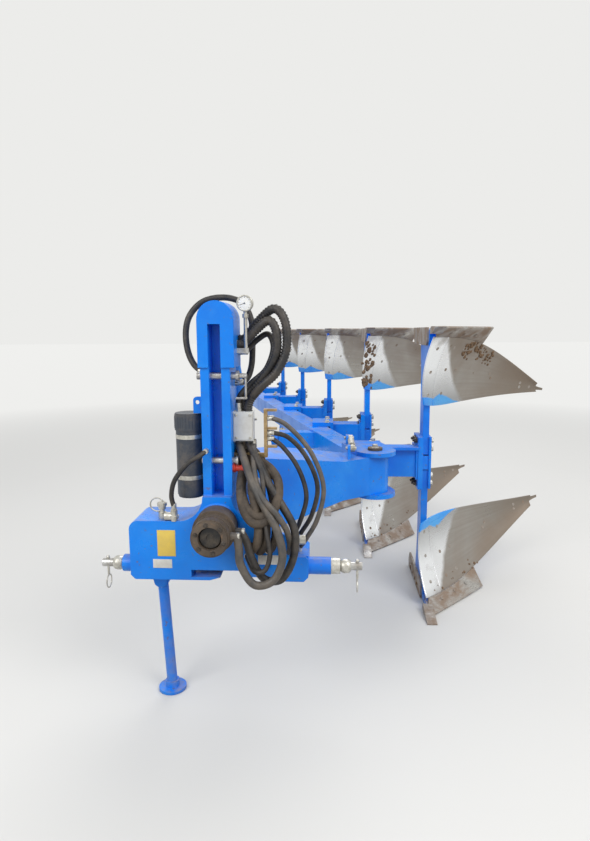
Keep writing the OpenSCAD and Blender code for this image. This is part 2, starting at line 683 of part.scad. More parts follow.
// Square beam from the frame pin to the last body, with its fork plates
module beam_solid(side, y0, y1) {
    translate([beam_x(y0), y0, axis_z])
        rotate([0, 0, beam_angle])
            translate([-side / 2, 0, -side / 2])
                cube([side, (y1 - y0) / cos(beam_angle), side]);
}
plate_w = 240;
plate_len = 260;
module main_beam() {
    color(blue)
    difference() {
        union() {
            beam_solid(beam_side, beam_front_y + 30, beam_rear_y);
            for (s = [-1, 1])
                translate([pivot_x, pivot_y, axis_z + s * (carrier_tip_h + fork_t / 2) - fork_t / 2])
                    rotate([0, 0, beam_angle])
                        linear_extrude(fork_t)
                            polygon(concat(arc(0, 0, plate_w / 2, 180, 360, 16), [[plate_w / 2, plate_len], [-plate_w / 2, plate_len]]));
            translate([beam_x(beam_front_y + 30), beam_front_y + 30, axis_z])
                rotate([0, 0, beam_angle])
                    translate([-plate_w / 2, 0, -carrier_tip_h])
                        cube([plate_w, 150, 2 * carrier_tip_h]);
            spindle_lug(spindle_rear_y, axis_z + carrier_tip_h + fork_t - 6);
            translate([beam_x(beam_rear_y), beam_rear_y, axis_z])
                rotate([0, 0, beam_angle])
                    translate([-beam_side / 2 - 12, 0, -beam_side / 2 - 12])
                        cube([beam_side + 24, 14, beam_side + 24]);
        }
        rod_z(pivot_pin_d + shaft_play, pivot_x, pivot_y, axis_z - 200, axis_z + 200);
    }
}

// Transverse arms that carry the body pairs, cut to the side of the beam, with clamp plates above and below it
saddle_len = 165;
saddle_over = 40;
saddle_t = 18;
flange_in = 25;
module body_arms() {
    color(blue)
    for (k = [0 : body_count - 1])
        difference() {
            translate([row_x[k] - beam_dx, row_y[k] + beam_mid_y, axis_z]) {
                block(0, beam_dx - bracket_t / 2, -arm_d / 2, arm_d / 2, -arm_h / 2, arm_h / 2);
                for (s = [-1, 1])
                    translate([0, 0, s * (arm_h + saddle_t + beam_side / 2 - arm_h / 2) / 2])
                        translate([0, -arm_d / 2 - saddle_over, -(arm_h / 2 + saddle_t - beam_side / 2) / 2])
                            cube([saddle_len, arm_d + 2 * saddle_over, arm_h / 2 + saddle_t - beam_side / 2]);
                block(saddle_len - flange_in, saddle_len, -arm_d / 2 - saddle_over, arm_d / 2 + saddle_over,
                    -arm_h / 2 - saddle_t, arm_h / 2 + saddle_t);
                block(beam_dx - bracket_t / 2 - 12, beam_dx - bracket_t / 2, -arm_d / 2 - 14, arm_d / 2 + 14, -arm_h / 2 - 14, arm_h / 2 + 14);
                if (k == 0)
                    block(saddle_len - 10, beam_dx - bracket_t / 2, -arm_d / 2 - saddle_over, -arm_d / 2 + 60, arm_h / 2, arm_h / 2 + saddle_t);
            }
            beam_solid(beam_side + 0.1, beam_front_y - 400, beam_rear_y + 400);
            translate([row_x[k] - beam_dx, row_y[k] + beam_mid_y, axis_z])
                rotate([0, 0, beam_angle])
                    translate([-900, -600, -400])
                        cube([900 - beam_side / 2, 1200, 800]);
            if (k == 0)
                translate([beam_x(beam_front_y + 30), beam_front_y + 30, axis_z])
                    rotate([0, 0, beam_angle])
                        translate([-plate_w / 2, -400, -300])
                            cube([plate_w, 550, 600]);
        }
}
// Two clamp plates on each arm's end, with the legs of one body pair between them
bolt_d = 22;
bolt_dy = 35;
bolt_zs = [84, 138];
spacer_h = 44;
leg_end = 50;
leg_x = bracket_t / 2;
module leg_brackets() {
    color(blue)
    for (k = [0 : body_count - 1])
        translate([row_x[k], row_y[k] + beam_mid_y, axis_z])
            difference() {
                union() {
                    block(-bracket_t / 2, bracket_t / 2, -bracket_w / 2, bracket_w / 2, -bracket_h / 2, bracket_h / 2);
                    block(leg_x + leg_t, leg_x + leg_t + clamp_t, -bracket_w / 2 + 20, bracket_w / 2 - 20, -bracket_h / 2, bracket_h / 2);
                    block(0, leg_x + leg_t + 1, -bracket_w / 2 + 30, bracket_w / 2 - 30, -spacer_h, spacer_h);
                }
                for (y = [-bolt_dy, bolt_dy], z = bolt_zs, s = [-1, 1])
                    rod_x(bolt_d, -bracket_t, leg_x + leg_t + clamp_t + cut_over, y, s * z);
            }
}

// Leg plate with its widened foot behind the soil surface
nose_y = 130;
leg_profile = [
    [leg_y, tip_h - leg_end], [leg_y, 470], [leg_y - 8, 380], [leg_y - 40, 290], [leg_y - 90, 190], [leg_y - 140, 130],
    [leg_y - 150, 90], [leg_y - 165, 44], [nose_y, 40], [nose_y, 10], [leg_y - 150, 10], [leg_y - 120, 30],
    [leg_y + leg_w + 30, 30], [leg_y + leg_w + 40, 120],
    [leg_y + leg_w + 10, 260], [leg_y + leg_w, 380], [leg_y + leg_w, tip_h - leg_end]];
module leg() {
    difference() {
        side_plate(leg_profile, leg_x, leg_x + leg_t);
        for (y = [-bolt_dy, bolt_dy], z = bolt_zs)
            rod_x(bolt_d, leg_x - cut_over, leg_x + leg_t + cut_over, beam_mid_y + y, tip_h - z);
    }
}
module legs_lower() {
    color(blue) on_bodies(below) leg();
}
module legs_upper() {
    color(blue) on_bodies(above) leg();
}

// Places of the grid lines along and up the soil surface
shin_us = [0, shin_u];
board_us = [shin_u, 0.22, 0.30, 0.40, 0.52, 0.64, 0.76, 0.88, 1];
board_vs = [0, 0.2, 0.4, 0.6, 0.8, 1];
frog_us = [0.22, 0.30, 0.40];
frog_vs = [0, 0.2, 0.4, 0.6];
module frog() {
    front = board_grid(frog_us, frog_vs, board_t + seat_gap);
    back = [for (row = front) [for (p = row) [leg_x + leg_t, p[1], p[2]]]];
    slab(front, back);
}
// Stay from a lug on the leg to a pad behind the wing
stay_us = [0.64, 0.76];
stay_vs = [0.4, 0.6];
pad_t = 20;
stay_leg = [leg_x + leg_t + 26, leg_y + leg_w - 10, 330];
module stay() {
    pad_grid = board_grid(stay_us, stay_vs, board_t + seat_gap + stay_d / 2 + 1);
    pad_mid = (pad_grid[0][0] + pad_grid[0][1] + pad_grid[1][0] + pad_grid[1][1]) / 4;
    rod_between(stay_leg, pad_mid, stay_d);
    block(leg_x + leg_t, stay_leg[0] + 18, stay_leg[1] - 24, stay_leg[1] + 24, stay_leg[2] - 24, stay_leg[2] + 24);
    slab(board_grid(stay_us, stay_vs, board_t + seat_gap), board_grid(stay_us, stay_vs, board_t + seat_gap + pad_t));
}
module frogs_lower() {
    color(blue) on_bodies(below) {
        frog();
        stay();
    }
}
module frogs_upper() {
    color(blue) on_bodies(above) {
        frog();
        stay();
    }
}
module mouldboard() {
    us = concat([shin_u + 0.002], [for (i = [1 : len(board_us) - 1]) board_us[i]]);
    slab(board_grid(us, board_vs, 0), board_grid(us, board_vs, board_t));
}
module mouldboards_lower() {
    color(steel) on_bodies(below) mouldboard();
}
module mouldboards_upper() {
    color(steel) on_bodies(above) mouldboard();
}
module shin() {
    slab(board_grid(shin_us, board_vs, 0), board_grid(shin_us, board_vs, board_t));
}
module shins_lower() {
    color(steel) on_bodies(below) shin();
}
module shins_upper() {
    color(steel) on_bodies(above) shin();
}

// Share between the cutting edge and the lower edge of the mouldboard
share_us = [for (u = [0.08, shin_u, 0.22, 0.30, 0.40, share_u]) u / share_u];
function share_top(s) =
    cubic(board_low, s * share_u) - [0, 0, 2 * seat_gap];
module share() {
    front = [for (s = share_us) [cubic(edge_line, s) + [0, 0, 4], share_top(s)]];
    back = [for (s = share_us) [cubic(edge_line, s), share_top(s) + share_t * [-0.5, 0.5, -0.9]]];
    slab(front, back);
}
module shares_lower() {
    color(steel) on_bodies(below) share();
}
module shares_upper() {
    color(steel) on_bodies(above) share();
}
module point() {
    side_plate([[-55, 0], [-55, 5], [60, 38], [nose_y, 42], [nose_y, 12], [nose_y - 30, 0]], -6, point_w - 6);
}
module points_lower() {
    color(steel) on_bodies(below) point();
}
module points_upper() {
    color(steel) on_bodies(above) point();
}
module landside() {
    side_plate([[290, 4], [290, landside_h - 20], [310, landside_h], [790, landside_h], [820, 60], [820, 4]],
        leg_x - landside_t, leg_x);
}
module landsides_lower() {
    color(steel) on_bodies(below) landside();
}
module landsides_upper() {
    color(steel) on_bodies(above) landside();
}

// Strip that lengthens the wing, bolted on behind it
tail_us = [0.88, 1, 1.04];
tail_v0 = [0.40, 0.40, 0.48];
tail_v1 = [0.80, 0.80, 0.70];
tail_t = 8;
module tail_piece() {
    function tail_grid(depth) =
        [for (i = [0 : len(tail_us) - 1]) [for (t = [0, 0.5, 1])
            let (v = lerp(tail_v0[i], tail_v1[i], t))
            board(tail_us[i], v) - depth * board_normal(tail_us[i], v)]];
    slab(tail_grid(board_t + seat_gap), tail_grid(board_t + seat_gap + tail_t));
}
module tail_pieces_lower() {
    color(steel) on_bodies(below) tail_piece();
}
module tail_pieces_upper() {
    color(steel) on_bodies(above) tail_piece();
}

// Depth wheel on its pendulum arm, on the land side of the beam
wheel_x1 = 28;
arm_x0 = wheel_x1 + 14;
arm_x1 = arm_x0 + 50;
wheel_y = pendulum_y + pendulum_len * cos(pendulum_drop);
wheel_z = axis_z - pendulum_len * sin(pendulum_drop);
module wheel_bracket() {
    color(blue)
    difference() {
        union() {
            block(arm_x1 + 6, beam_x(pendulum_y) - 20, pendulum_y - 60, pendulum_y + 60, axis_z - 60, axis_z + 60);
            rod_x(50, arm_x0 - 8, arm_x1 + 20, pendulum_y, axis_z);
        }
        beam_solid(beam_side, beam_front_y - 400, beam_rear_y + 400);
    }
}
module pendulum_arm() {
    color(blue)
    difference() {
        union() {
            rod_x(110, arm_x0, arm_x1, pendulum_y, axis_z);
            translate([arm_x0, pendulum_y, axis_z])
                rotate([-pendulum_drop, 0, 0])
                    translate([0, 0, -32]) cube([arm_x1 - arm_x0, pendulum_len, 64]);
            rod_x(80, arm_x0, arm_x1, wheel_y, wheel_z);
            rod_x(40, wheel_x1 - wheel_w + 40, arm_x0 + 4, wheel_y, wheel_z);
        }
        rod_x(50 + shaft_play, arm_x0 - 20, arm_x1 + 20, pendulum_y, axis_z);
    }
}
module wheel_rim() {
    color(blue)
    translate([wheel_x1 - wheel_w / 2, wheel_y, wheel_z])
        rotate([0, 90, 0])
            rotate_extrude()
                polygon([[20 + shaft_play / 2, -45], [48, -45], [48, -8], [150, -8], [150, -70], [168, -70],
                    [168, 70], [150, 70], [150, 8], [48, 8], [48, 45], [20 + shaft_play / 2, 45]]);
}
module wheel_tyre() {
    color(rubber_black)
    translate([wheel_x1 - wheel_w / 2, wheel_y, wheel_z])
        rotate([0, 90, 0])
            rotate_extrude()
                polygon([[168, -62], [200, -78], [240, -wheel_w / 2], [wheel_d / 2 - 14, -wheel_w / 2 + 8],
                    [wheel_d / 2, -40], [wheel_d / 2, 40], [wheel_d / 2 - 14, wheel_w / 2 - 8],
                    [240, wheel_w / 2], [200, 78], [168, 62]]);
}

headstock_base();
tower();
tower_cap();
lower_link_shaft();
link_sleeves();
link_collar();
linch_pins();
top_link_pin();
spare_link_pin();
stand_leg();
document_tube();
pressure_gauge();
junction_box();
hose_holder();
rotary_union();
turnover_cylinder();
cylinder_rod();
upper_hoses();
middle_hoses();
lower_hoses();
side_hose();
hose_couplers();
tilt_screw();
turnover_axle();
carrier();
frame_pin();
width_spindle();
main_beam();
body_arms();
leg_brackets();
legs_lower();
legs_upper();
frogs_lower();
frogs_upper();
mouldboards_lower();
mouldboards_upper();
shins_lower();
shins_upper();
shares_lower();
shares_upper();
points_lower();
points_upper();
landsides_lower();
landsides_upper();
tail_pieces_lower();
tail_pieces_upper();
wheel_bracket();
pendulum_arm();
wheel_rim();
wheel_tyre();
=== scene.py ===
"""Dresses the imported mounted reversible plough: paint, worn steel, bolts, welds, hoses, plates and soil."""
import json
import math
import random

import bpy
from mathutils import Matrix, Vector


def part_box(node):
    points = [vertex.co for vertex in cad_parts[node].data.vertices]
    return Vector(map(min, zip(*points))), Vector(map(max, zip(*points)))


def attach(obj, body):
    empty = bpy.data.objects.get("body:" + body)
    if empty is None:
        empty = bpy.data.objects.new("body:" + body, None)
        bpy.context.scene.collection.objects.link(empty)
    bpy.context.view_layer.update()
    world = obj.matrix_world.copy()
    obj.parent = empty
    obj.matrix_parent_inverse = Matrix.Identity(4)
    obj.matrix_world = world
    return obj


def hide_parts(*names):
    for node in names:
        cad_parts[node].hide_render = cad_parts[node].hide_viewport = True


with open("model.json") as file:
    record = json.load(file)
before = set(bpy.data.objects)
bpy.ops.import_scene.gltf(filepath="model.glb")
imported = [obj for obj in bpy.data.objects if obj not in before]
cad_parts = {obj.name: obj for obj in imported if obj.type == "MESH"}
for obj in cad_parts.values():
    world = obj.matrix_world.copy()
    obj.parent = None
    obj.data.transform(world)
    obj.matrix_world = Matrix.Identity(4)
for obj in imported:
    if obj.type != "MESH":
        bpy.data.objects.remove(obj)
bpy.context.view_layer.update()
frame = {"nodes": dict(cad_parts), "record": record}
NODES = frame["nodes"]
MM = 0.001
X, Y, Z = Vector((1, 0, 0)), Vector((0, 1, 0)), Vector((0, 0, 1))
random.seed(7)

# Main places of the plough, in metres
AXIS_Z = 0.200
TIP_H = 0.845
FLOOR_Z = AXIS_Z - TIP_H
BODY_COUNT = 5
FIRST_X, FIRST_Y = 1.050, 0.780
BODY_STEP, BODY_PITCH = 0.300, 1.000
ROWS = [(FIRST_X - k * BODY_STEP, FIRST_Y + k * BODY_PITCH) for k in range(BODY_COUNT)]
BEAM_MID_Y = 0.480
BEAM_DX = 0.400
ARM_D, ARM_H = 0.160, 0.176
SADDLE_T = 0.018
SADDLE_BOLT_DX, SADDLE_BOLT_DY = 0.118, 0.100
LEG_X, LEG_T, CLAMP_T = 0.015, 0.040, 0.014
BOLT_DY, BOLT_ZS = 0.035, (0.084, 0.138)
FRAME_BOLT_R = 0.0165
FLANGE_Y, FLANGE_BOLTS_R = 0.356, 0.128
LINK_SPAN, LINK_OFFSET, LINK_PIN_LEN = 0.965, 0.046, 0.097
BASE_FRONT, BASE_BACK = -0.060, 0.150
LOBE_X, LOBE_TOP = 0.390, 0.214
TOWER_W, TOWER_FRONT, TOWER_FOOT_Z, TOWER_TOP = 0.126, -0.030, 0.322, 1.150
UNION_FRONT = -0.240
HOUSING_R = 0.092
PIVOT = Vector((0.749, 0.930, 0.334))
PIVOT_HEAD = 0.014
WHEEL = Vector((-0.057, 2.462807, -0.351552))

# Soil surface of a body, in mm: from its landside, back from its point and up from its share edge
BOARD_LOW = ((25, 160, 62), (290, 380, 64), (415, 650, 62), (905, 1010, 400))
BOARD_TOP = ((5, 330, 470), (150, 520, 520), (330, 740, 460), (915, 1050, 462))
BOARD_BULGE = (75, 25)
BULGE_WAY = Vector((-0.6, 0.8, 0))
BOARD_T = 9
SHIN_U = 0.14


def blend(a, b, t):
    return a + (b - a) * t


def cubic(corners, t):
    a, b, c, d = (Vector(corner) for corner in corners)
    return a * (1 - t) ** 3 + b * 3 * t * (1 - t) ** 2 + c * 3 * t * t * (1 - t) + d * t ** 3


def board(u, v):
    """Point of the soil surface, in mm in its body's own frame."""
    low, top = cubic(BOARD_LOW, u), cubic(BOARD_TOP, u)
    middle = (low + top) / 2 + BULGE_WAY * blend(*BOARD_BULGE, u)
    return low * (1 - v) ** 2 + middle * 2 * v * (1 - v) + top * v * v


def board_normal(u, v):
    step = 0.01
    along = board(u + step, v) - board(u - step, v)
    up = board(u, v + step) - board(u, v - step)
    return along.cross(up).normalized()


def on_body(k, upper, point):
    """Puts a point of a body's own frame, in mm, in the plough's frame, in metres."""
    x, y, z = (c * MM for c in point)
    height = AXIS_Z + (TIP_H - z) * (1 if upper else -1)
    return Vector((ROWS[k][0] + x, ROWS[k][1] + y, height))


def facing(upper, direction):
    x, y, z = direction
    return Vector((x, y, -z if upper else z))


def on_board(k, upper, u, v):
    """Point of a body's soil surface and the direction out of it."""
    return on_body(k, upper, board(u, v)), facing(upper, board_normal(u, v))


# Modelling helpers

def deselect():
    if bpy.context.mode != "OBJECT":
        bpy.ops.object.mode_set(mode="OBJECT")
    bpy.ops.object.select_all(action="DESELECT")


def pick(obj):
    deselect()
    obj.select_set(True)
    bpy.context.view_layer.objects.active = obj


def edit_all(obj):
    pick(obj)
    bpy.ops.object.mode_set(mode="EDIT")
    bpy.ops.mesh.select_all(action="SELECT")


def named(obj, name):
    obj.name = name
    obj.data.name = name
    return obj


def settle(obj, name):
    """Puts a piece's place into its mesh, so that its object sits at the origin."""
    pick(obj)
    bpy.ops.object.transform_apply(location=True, rotation=True, scale=True)
    return named(obj, name)


def smooth(obj, angle=35):
    pick(obj)
    bpy.ops.object.shade_smooth_by_angle(angle=math.radians(angle))
    return obj


def modify(obj, kind, **settings):
    pick(obj)
    modifier = obj.modifiers.new(kind.lower(), kind)
    for key, value in settings.items():
        setattr(modifier, key, value)
    bpy.ops.object.modifier_apply(modifier=modifier.name)
    return obj


def rounded(obj, width, angle=40):
    modify(obj, "BEVEL", width=width, segments=2, limit_method="ANGLE", angle_limit=math.radians(angle))
    return smooth(obj)


def raised(name, rows, sides, fill, extrude):
    """Draws a circle and carries it through rows of (radius, height)."""
    deselect()
    radius, height = rows[0]
    bpy.ops.mesh.primitive_circle_add(vertices=sides, radius=radius, fill_type=fill, location=(0, 0, height))
    obj = settle(bpy.context.object, name)
    edit_all(obj)
    for next_radius, next_height in rows[1:]:
        extrude(TRANSFORM_OT_translate={"value": (0, 0, next_height - height)})
        ratio = next_radius / radius
        bpy.ops.transform.resize(value=(ratio, ratio, 1), center_override=(0, 0, next_height))
        radius, height = next_radius, next_height
    edit_all(obj)
    bpy.ops.mesh.remove_doubles(threshold=0.00001)
    bpy.ops.mesh.normals_make_consistent(inside=False)
    bpy.ops.object.mode_set(mode="OBJECT")
    return obj


def turned(name, outline, sides):
    """Turns rows of (radius, height) into a closed round piece that stands on the origin."""
    return smooth(raised(name, outline, sides, "NGON", bpy.ops.mesh.extrude_region_move))


def ring_turned(name, outline, sides):
    """Turns an outline of (radius, height) into a ring that is open in its middle."""
    closed = tuple(outline) + (outline[0],)
    return smooth(raised(name, closed, sides, "NOTHING", bpy.ops.mesh.extrude_edges_move), 50)


def plate(name, size, place, edge):
    """A flat plate or bar with rounded edges, by its size and the middle of it."""
    deselect()
    bpy.ops.mesh.primitive_cube_add(size=1, location=place, scale=size)
    widest_edge = min(size) * 0.45
    return rounded(settle(bpy.context.object, name), min(edge, widest_edge))


def place_at(obj, point, direction=Z, turn=0.0):
    """Stands a piece on a point, with its own Z along a direction."""
    matrix = Matrix.Translation(point) @ Vector(direction).to_track_quat("Z", "Y").to_matrix().to_4x4()
    obj.data.transform(matrix @ Matrix.Rotation(turn, 4, "Z"))
    return obj


def copy_of(obj, name):
    twin = obj.copy()
    twin.data = obj.data.copy()
    bpy.context.collection.objects.link(twin)
    return named(twin, name)


def joined(name, parts):
    pick(parts[0])
    for part in parts[1:]:
        part.select_set(True)
    if len(parts) > 1:
        bpy.ops.object.join()
    return named(bpy.context.object, name)


def copies(name, model, places):
    """Copies of one piece at rows of (point, direction), joined, with the first one used up."""
    made = []
    for point, direction in places:
        made.append(place_at(copy_of(model, name), point, direction, random.uniform(0, math.pi / 3)))
    bpy.data.objects.remove(model)
    return joined(name, made)


def tube(name, points, radius, sides, ripple=0.0, cyclic=False):
    """A round tube along points, as a curve made into a mesh."""
    deselect()
    data = bpy.data.curves.new(name, "CURVE")
    data.dimensions = "3D"
    data.bevel_depth = radius
    data.bevel_resolution = max(0, sides // 4 - 1)
    data.use_fill_caps = not cyclic
    line = data.splines.new("POLY")
    line.points.add(len(points) - 1)
    line.use_cyclic_u = cyclic
    for i, (slot, point) in enumerate(zip(line.points, points)):
        slot.co = (*point, 1)
        slot.radius = 1 + (ripple if i % 2 else -ripple)
    obj = bpy.data.objects.new(name, data)
    bpy.context.collection.objects.link(obj)
    pick(obj)
    bpy.ops.object.convert(target="MESH")
    return smooth(bpy.context.object, 60)


BEAD_R, BEAD_STEP, BEAD_RIPPLE, BEAD_SIDES = 0.004, 0.006, 0.18, 6


def bead(a, b):
    """A rippled weld seam from one point to another."""
    a, b = Vector(a), Vector(b)
    count = max(2, round((b - a).length / BEAD_STEP))
    points = [a.lerp(b, i / count) for i in range(count + 1)]
    return tube("bead", points, BEAD_R, BEAD_SIDES, BEAD_RIPPLE)


def ring_points(center, normal, radius, count, start=0.0):
    turn = Vector(normal).to_track_quat("Z", "Y")
    angles = [start + 2 * math.pi * i / count for i in range(count)]
    flat = [Vector((radius * math.cos(a), radius * math.sin(a), 0)) for a in angles]
    return [Vector(center) + turn @ point for point in flat]


def round_bead(center, normal, radius, size=BEAD_R):
    """A weld seam round a bar, with an even count of points, so that its ripple closes."""
    count = round(2 * math.pi * radius / (2 * BEAD_STEP)) * 2
    points = ring_points(center, normal, radius, count)
    return tube("bead", points, size, BEAD_SIDES, BEAD_RIPPLE, cyclic=True)


def spline(points, fill=8):
    """Smooth line through a hose's route, with its first and last stretch straight, as the solids have it."""
    rows = [Vector(p) * MM for p in points]
    line = [rows[0]]
    for i in range(1, len(rows) - 2):
        a, b, c, d = rows[i - 1:i + 3]
        for s in range(fill):
            t = s / fill
            line.append(0.5 * (2 * b + (c - a) * t + (2 * a - 5 * b + 4 * c - d) * t * t
                               + (3 * b - a - 3 * c + d) * t ** 3))
    return line + [rows[-2], rows[-1]]


# Materials

# Each finished material, by its name
MATS = {}


class Shader:
    """Small helper that adds and links the nodes of one material, or of the world."""

    def __init__(self, name, world=None):
        self.name = name
        self.owner = world or bpy.data.materials.new(name)
        self.owner.use_nodes = True
        self.tree = self.owner.node_tree
        self.tree.nodes.clear()
        self.coords = self.add("ShaderNodeTexCoord").outputs["Object"]

    def add(self, kind, **settings):
        node = self.tree.nodes.new(kind)
        for key, value in settings.items():
            if key in node.inputs:
                self.put(node.inputs[key], value)
            else:
                setattr(node, key, value)
        return node

    def put(self, socket, value):
        if isinstance(value, bpy.types.NodeSocket):
            self.tree.links.new(value, socket)
        else:
            socket.default_value = value

    def noise(self, scale, detail, rough, stretch=None, distortion=0.0, vector=None):
        vector = vector or self.coords
        if stretch:
            vector = self.add("ShaderNodeMapping", Vector=vector, Scale=stretch).outputs["Vector"]
        node = self.add("ShaderNodeTexNoise", Vector=vector, Scale=scale, Detail=detail, Roughness=rough,
                        Distortion=distortion)
        return node.outputs["Fac"]

    def ramp(self, value, low, high, to_low=0.0, to_high=1.0):
        limits = {"From Min": low, "From Max": high, "To Min": to_low, "To Max": to_high}
        return self.add("ShaderNodeMapRange", clamp=True, Value=value, **limits).outputs["Result"]

    def math(self, operation, a, b=0.0):
        node = self.add("ShaderNodeMath", operation=operation)
        self.put(node.inputs[0], a)
        self.put(node.inputs[1], b)
        return node.outputs["Value"]

    def times(self, a, b):
        return self.math("MULTIPLY", a, b)

    def plus(self, a, b):
        return self.math("ADD", a, b)

    def minus(self, a, b):
        return self.math("SUBTRACT", a, b)

    def larger(self, a, b):
        return self.math("MAXIMUM", a, b)

    def mix(self, factor, a, b):
        node = self.add("ShaderNodeMix", data_type="RGBA")
        by_name = {socket.identifier: socket for socket in node.inputs}
        self.put(by_name["Factor_Float"], factor)
        self.put(by_name["A_Color"], a)
        self.put(by_name["B_Color"], b)
        return {socket.identifier: socket for socket in node.outputs}["Result_Color"]

    def part(self, vector, axis):
        return self.add("ShaderNodeSeparateXYZ", Vector=vector).outputs[axis]

    def surface_map(self):
        """The piece's own map: u along the board and v up it."""
        return self.add("ShaderNodeUVMap", uv_map="UVMap").outputs["UV"]

    def seen(self):
        """1 for rays from the camera, a mirror or glass, and 0 for all others."""
        path = self.add("ShaderNodeLightPath")
        mirrored = self.larger(path.outputs["Is Glossy Ray"], path.outputs["Is Transmission Ray"])
        return self.larger(path.outputs["Is Camera Ray"], mirrored)

    def bump(self, height, strength, distance, edge=0.0):
        node = self.add("ShaderNodeBump", Strength=strength, Distance=distance, Height=height)
        if edge:
            soft = self.add("ShaderNodeBevel", samples=4, Radius=edge)
            self.put(node.inputs["Normal"], soft.outputs["Normal"])
        return node.outputs["Normal"]

    def finish(self, color, roughness, metallic=0.0, normal=None, coat=0.0, specular=0.5, glow=None):
        settings = {"Base Color": color, "Roughness": roughness, "Metallic": metallic, "Coat Weight": coat,
                    "Coat Roughness": COAT_ROUGHNESS, "Specular IOR Level": specular}
        if normal is not None:
            settings["Normal"] = normal
        if glow is not None:
            settings["Emission Color"] = PALE
            settings["Emission Strength"] = glow
        bsdf = self.add("ShaderNodeBsdfPrincipled", **settings)
        self.add("ShaderNodeOutputMaterial", Surface=bsdf.outputs[0])
        MATS[self.name] = self.owner


def rgb(r, g, b):
    """A colour given in display values, as the linear colour a shader takes."""
    return tuple(((c / 255 + 0.055) / 1.055) ** 2.4 if c > 10 else c / 3294.6 for c in (r, g, b)) + (1.0,)


BLUE = rgb(0, 136, 242)
# The paint's colour where it lies in shade, used for painted shade
BLUE_PAINTED_SHADE = rgb(0, 113, 222)
BLUE_CHALKY = rgb(74, 166, 234)
DUST = rgb(150, 134, 112)
SOIL = rgb(108, 84, 62)
RUST = rgb(112, 66, 40)
POLISHED = rgb(178, 175, 170)
SCUFFED = rgb(148, 144, 138)
# Near-white of rubbed steel, brightened into a painted highlight on boards and shins
RUBBED_AND_HIGHLIGHT_WHITE = rgb(244, 246, 248)
FILM = rgb(130, 113, 96)
PALE = rgb(236, 236, 234)
COAT_ROUGHNESS = 0.14


def blue_paint():
    s = Shader("blue_paint")
    broad = s.noise(3.2, 5, 0.6)
    fine = s.noise(38, 6, 0.65)
    # Broad patches take the paint's shaded colour: painted shade
    color = s.mix(s.ramp(broad, 0.35, 0.7), BLUE, BLUE_PAINTED_SHADE)
    color = s.mix(s.times(s.ramp(s.noise(5.5, 6, 0.6), 0.52, 0.75), 0.28), color, BLUE_CHALKY)
    lying = s.ramp(s.part(s.add("ShaderNodeNewGeometry").outputs["Normal"], "Z"), 0.45, 0.98)
    low = s.ramp(s.part(s.coords, "Z"), 0.02, -0.60)
    patches = s.ramp(s.noise(7, 8, 0.7), 0.44, 0.66)
    dusty = s.times(patches, s.plus(s.times(lying, 0.62), s.times(low, 0.5)))
    color = s.mix(dusty, color, DUST)
    specks = s.times(s.ramp(fine, 0.63, 0.70), 0.75)
    color = s.mix(specks, color, SOIL)
    rough = s.ramp(s.plus(s.times(dusty, 0.8), broad), 0.3, 1.2, 0.22, 0.7)
    height = s.plus(s.times(fine, 0.35), broad)
    s.finish(color, rough, 0.0, s.bump(height, 0.12, 0.003, edge=0.0035), coat=0.12, specular=0.35)


# Looks of the boards, by u from the leg to the wing's tip and v up the board
BAND_LEAN, BAND_OUTER, BAND_INNER = 0.37, 0.155, 0.115
PAINT_MIDDLE, PAINT_SLOPE, PAINT_LOW, PAINT_FULL = 0.24, 0.78, 0.800, 0.825
WING_TIP_TONE = rgb(122, 113, 101)
UNDER_PAINT = rgb(142, 143, 144)


def wavering(s):
    """A small wander for the edges of worn and painted areas."""
    return s.times(s.minus(s.noise(9, 5, 0.6), 0.5), 0.06)


def paint_left(s, cloud):
    return s.mix(s.ramp(cloud, 0.4, 0.6), BLUE, BLUE_CHALKY)


def rubbed_and_highlight_tone(s, v, wobble):
    """Steel beside the leg: rubbed bright by the soil, whitest in its lower half, where a painted highlight
    lies, and dull under the paint.
    """
    height = s.plus(v, s.times(wobble, 2.0))
    rise = s.ramp(height, -0.05, 0.12, 0.55, 1.0)
    fall = s.ramp(height, 0.42, 0.92, 1.0, 0.25)
    return s.mix(s.times(rise, fall), UNDER_PAINT, RUBBED_AND_HIGHLIGHT_WHITE)


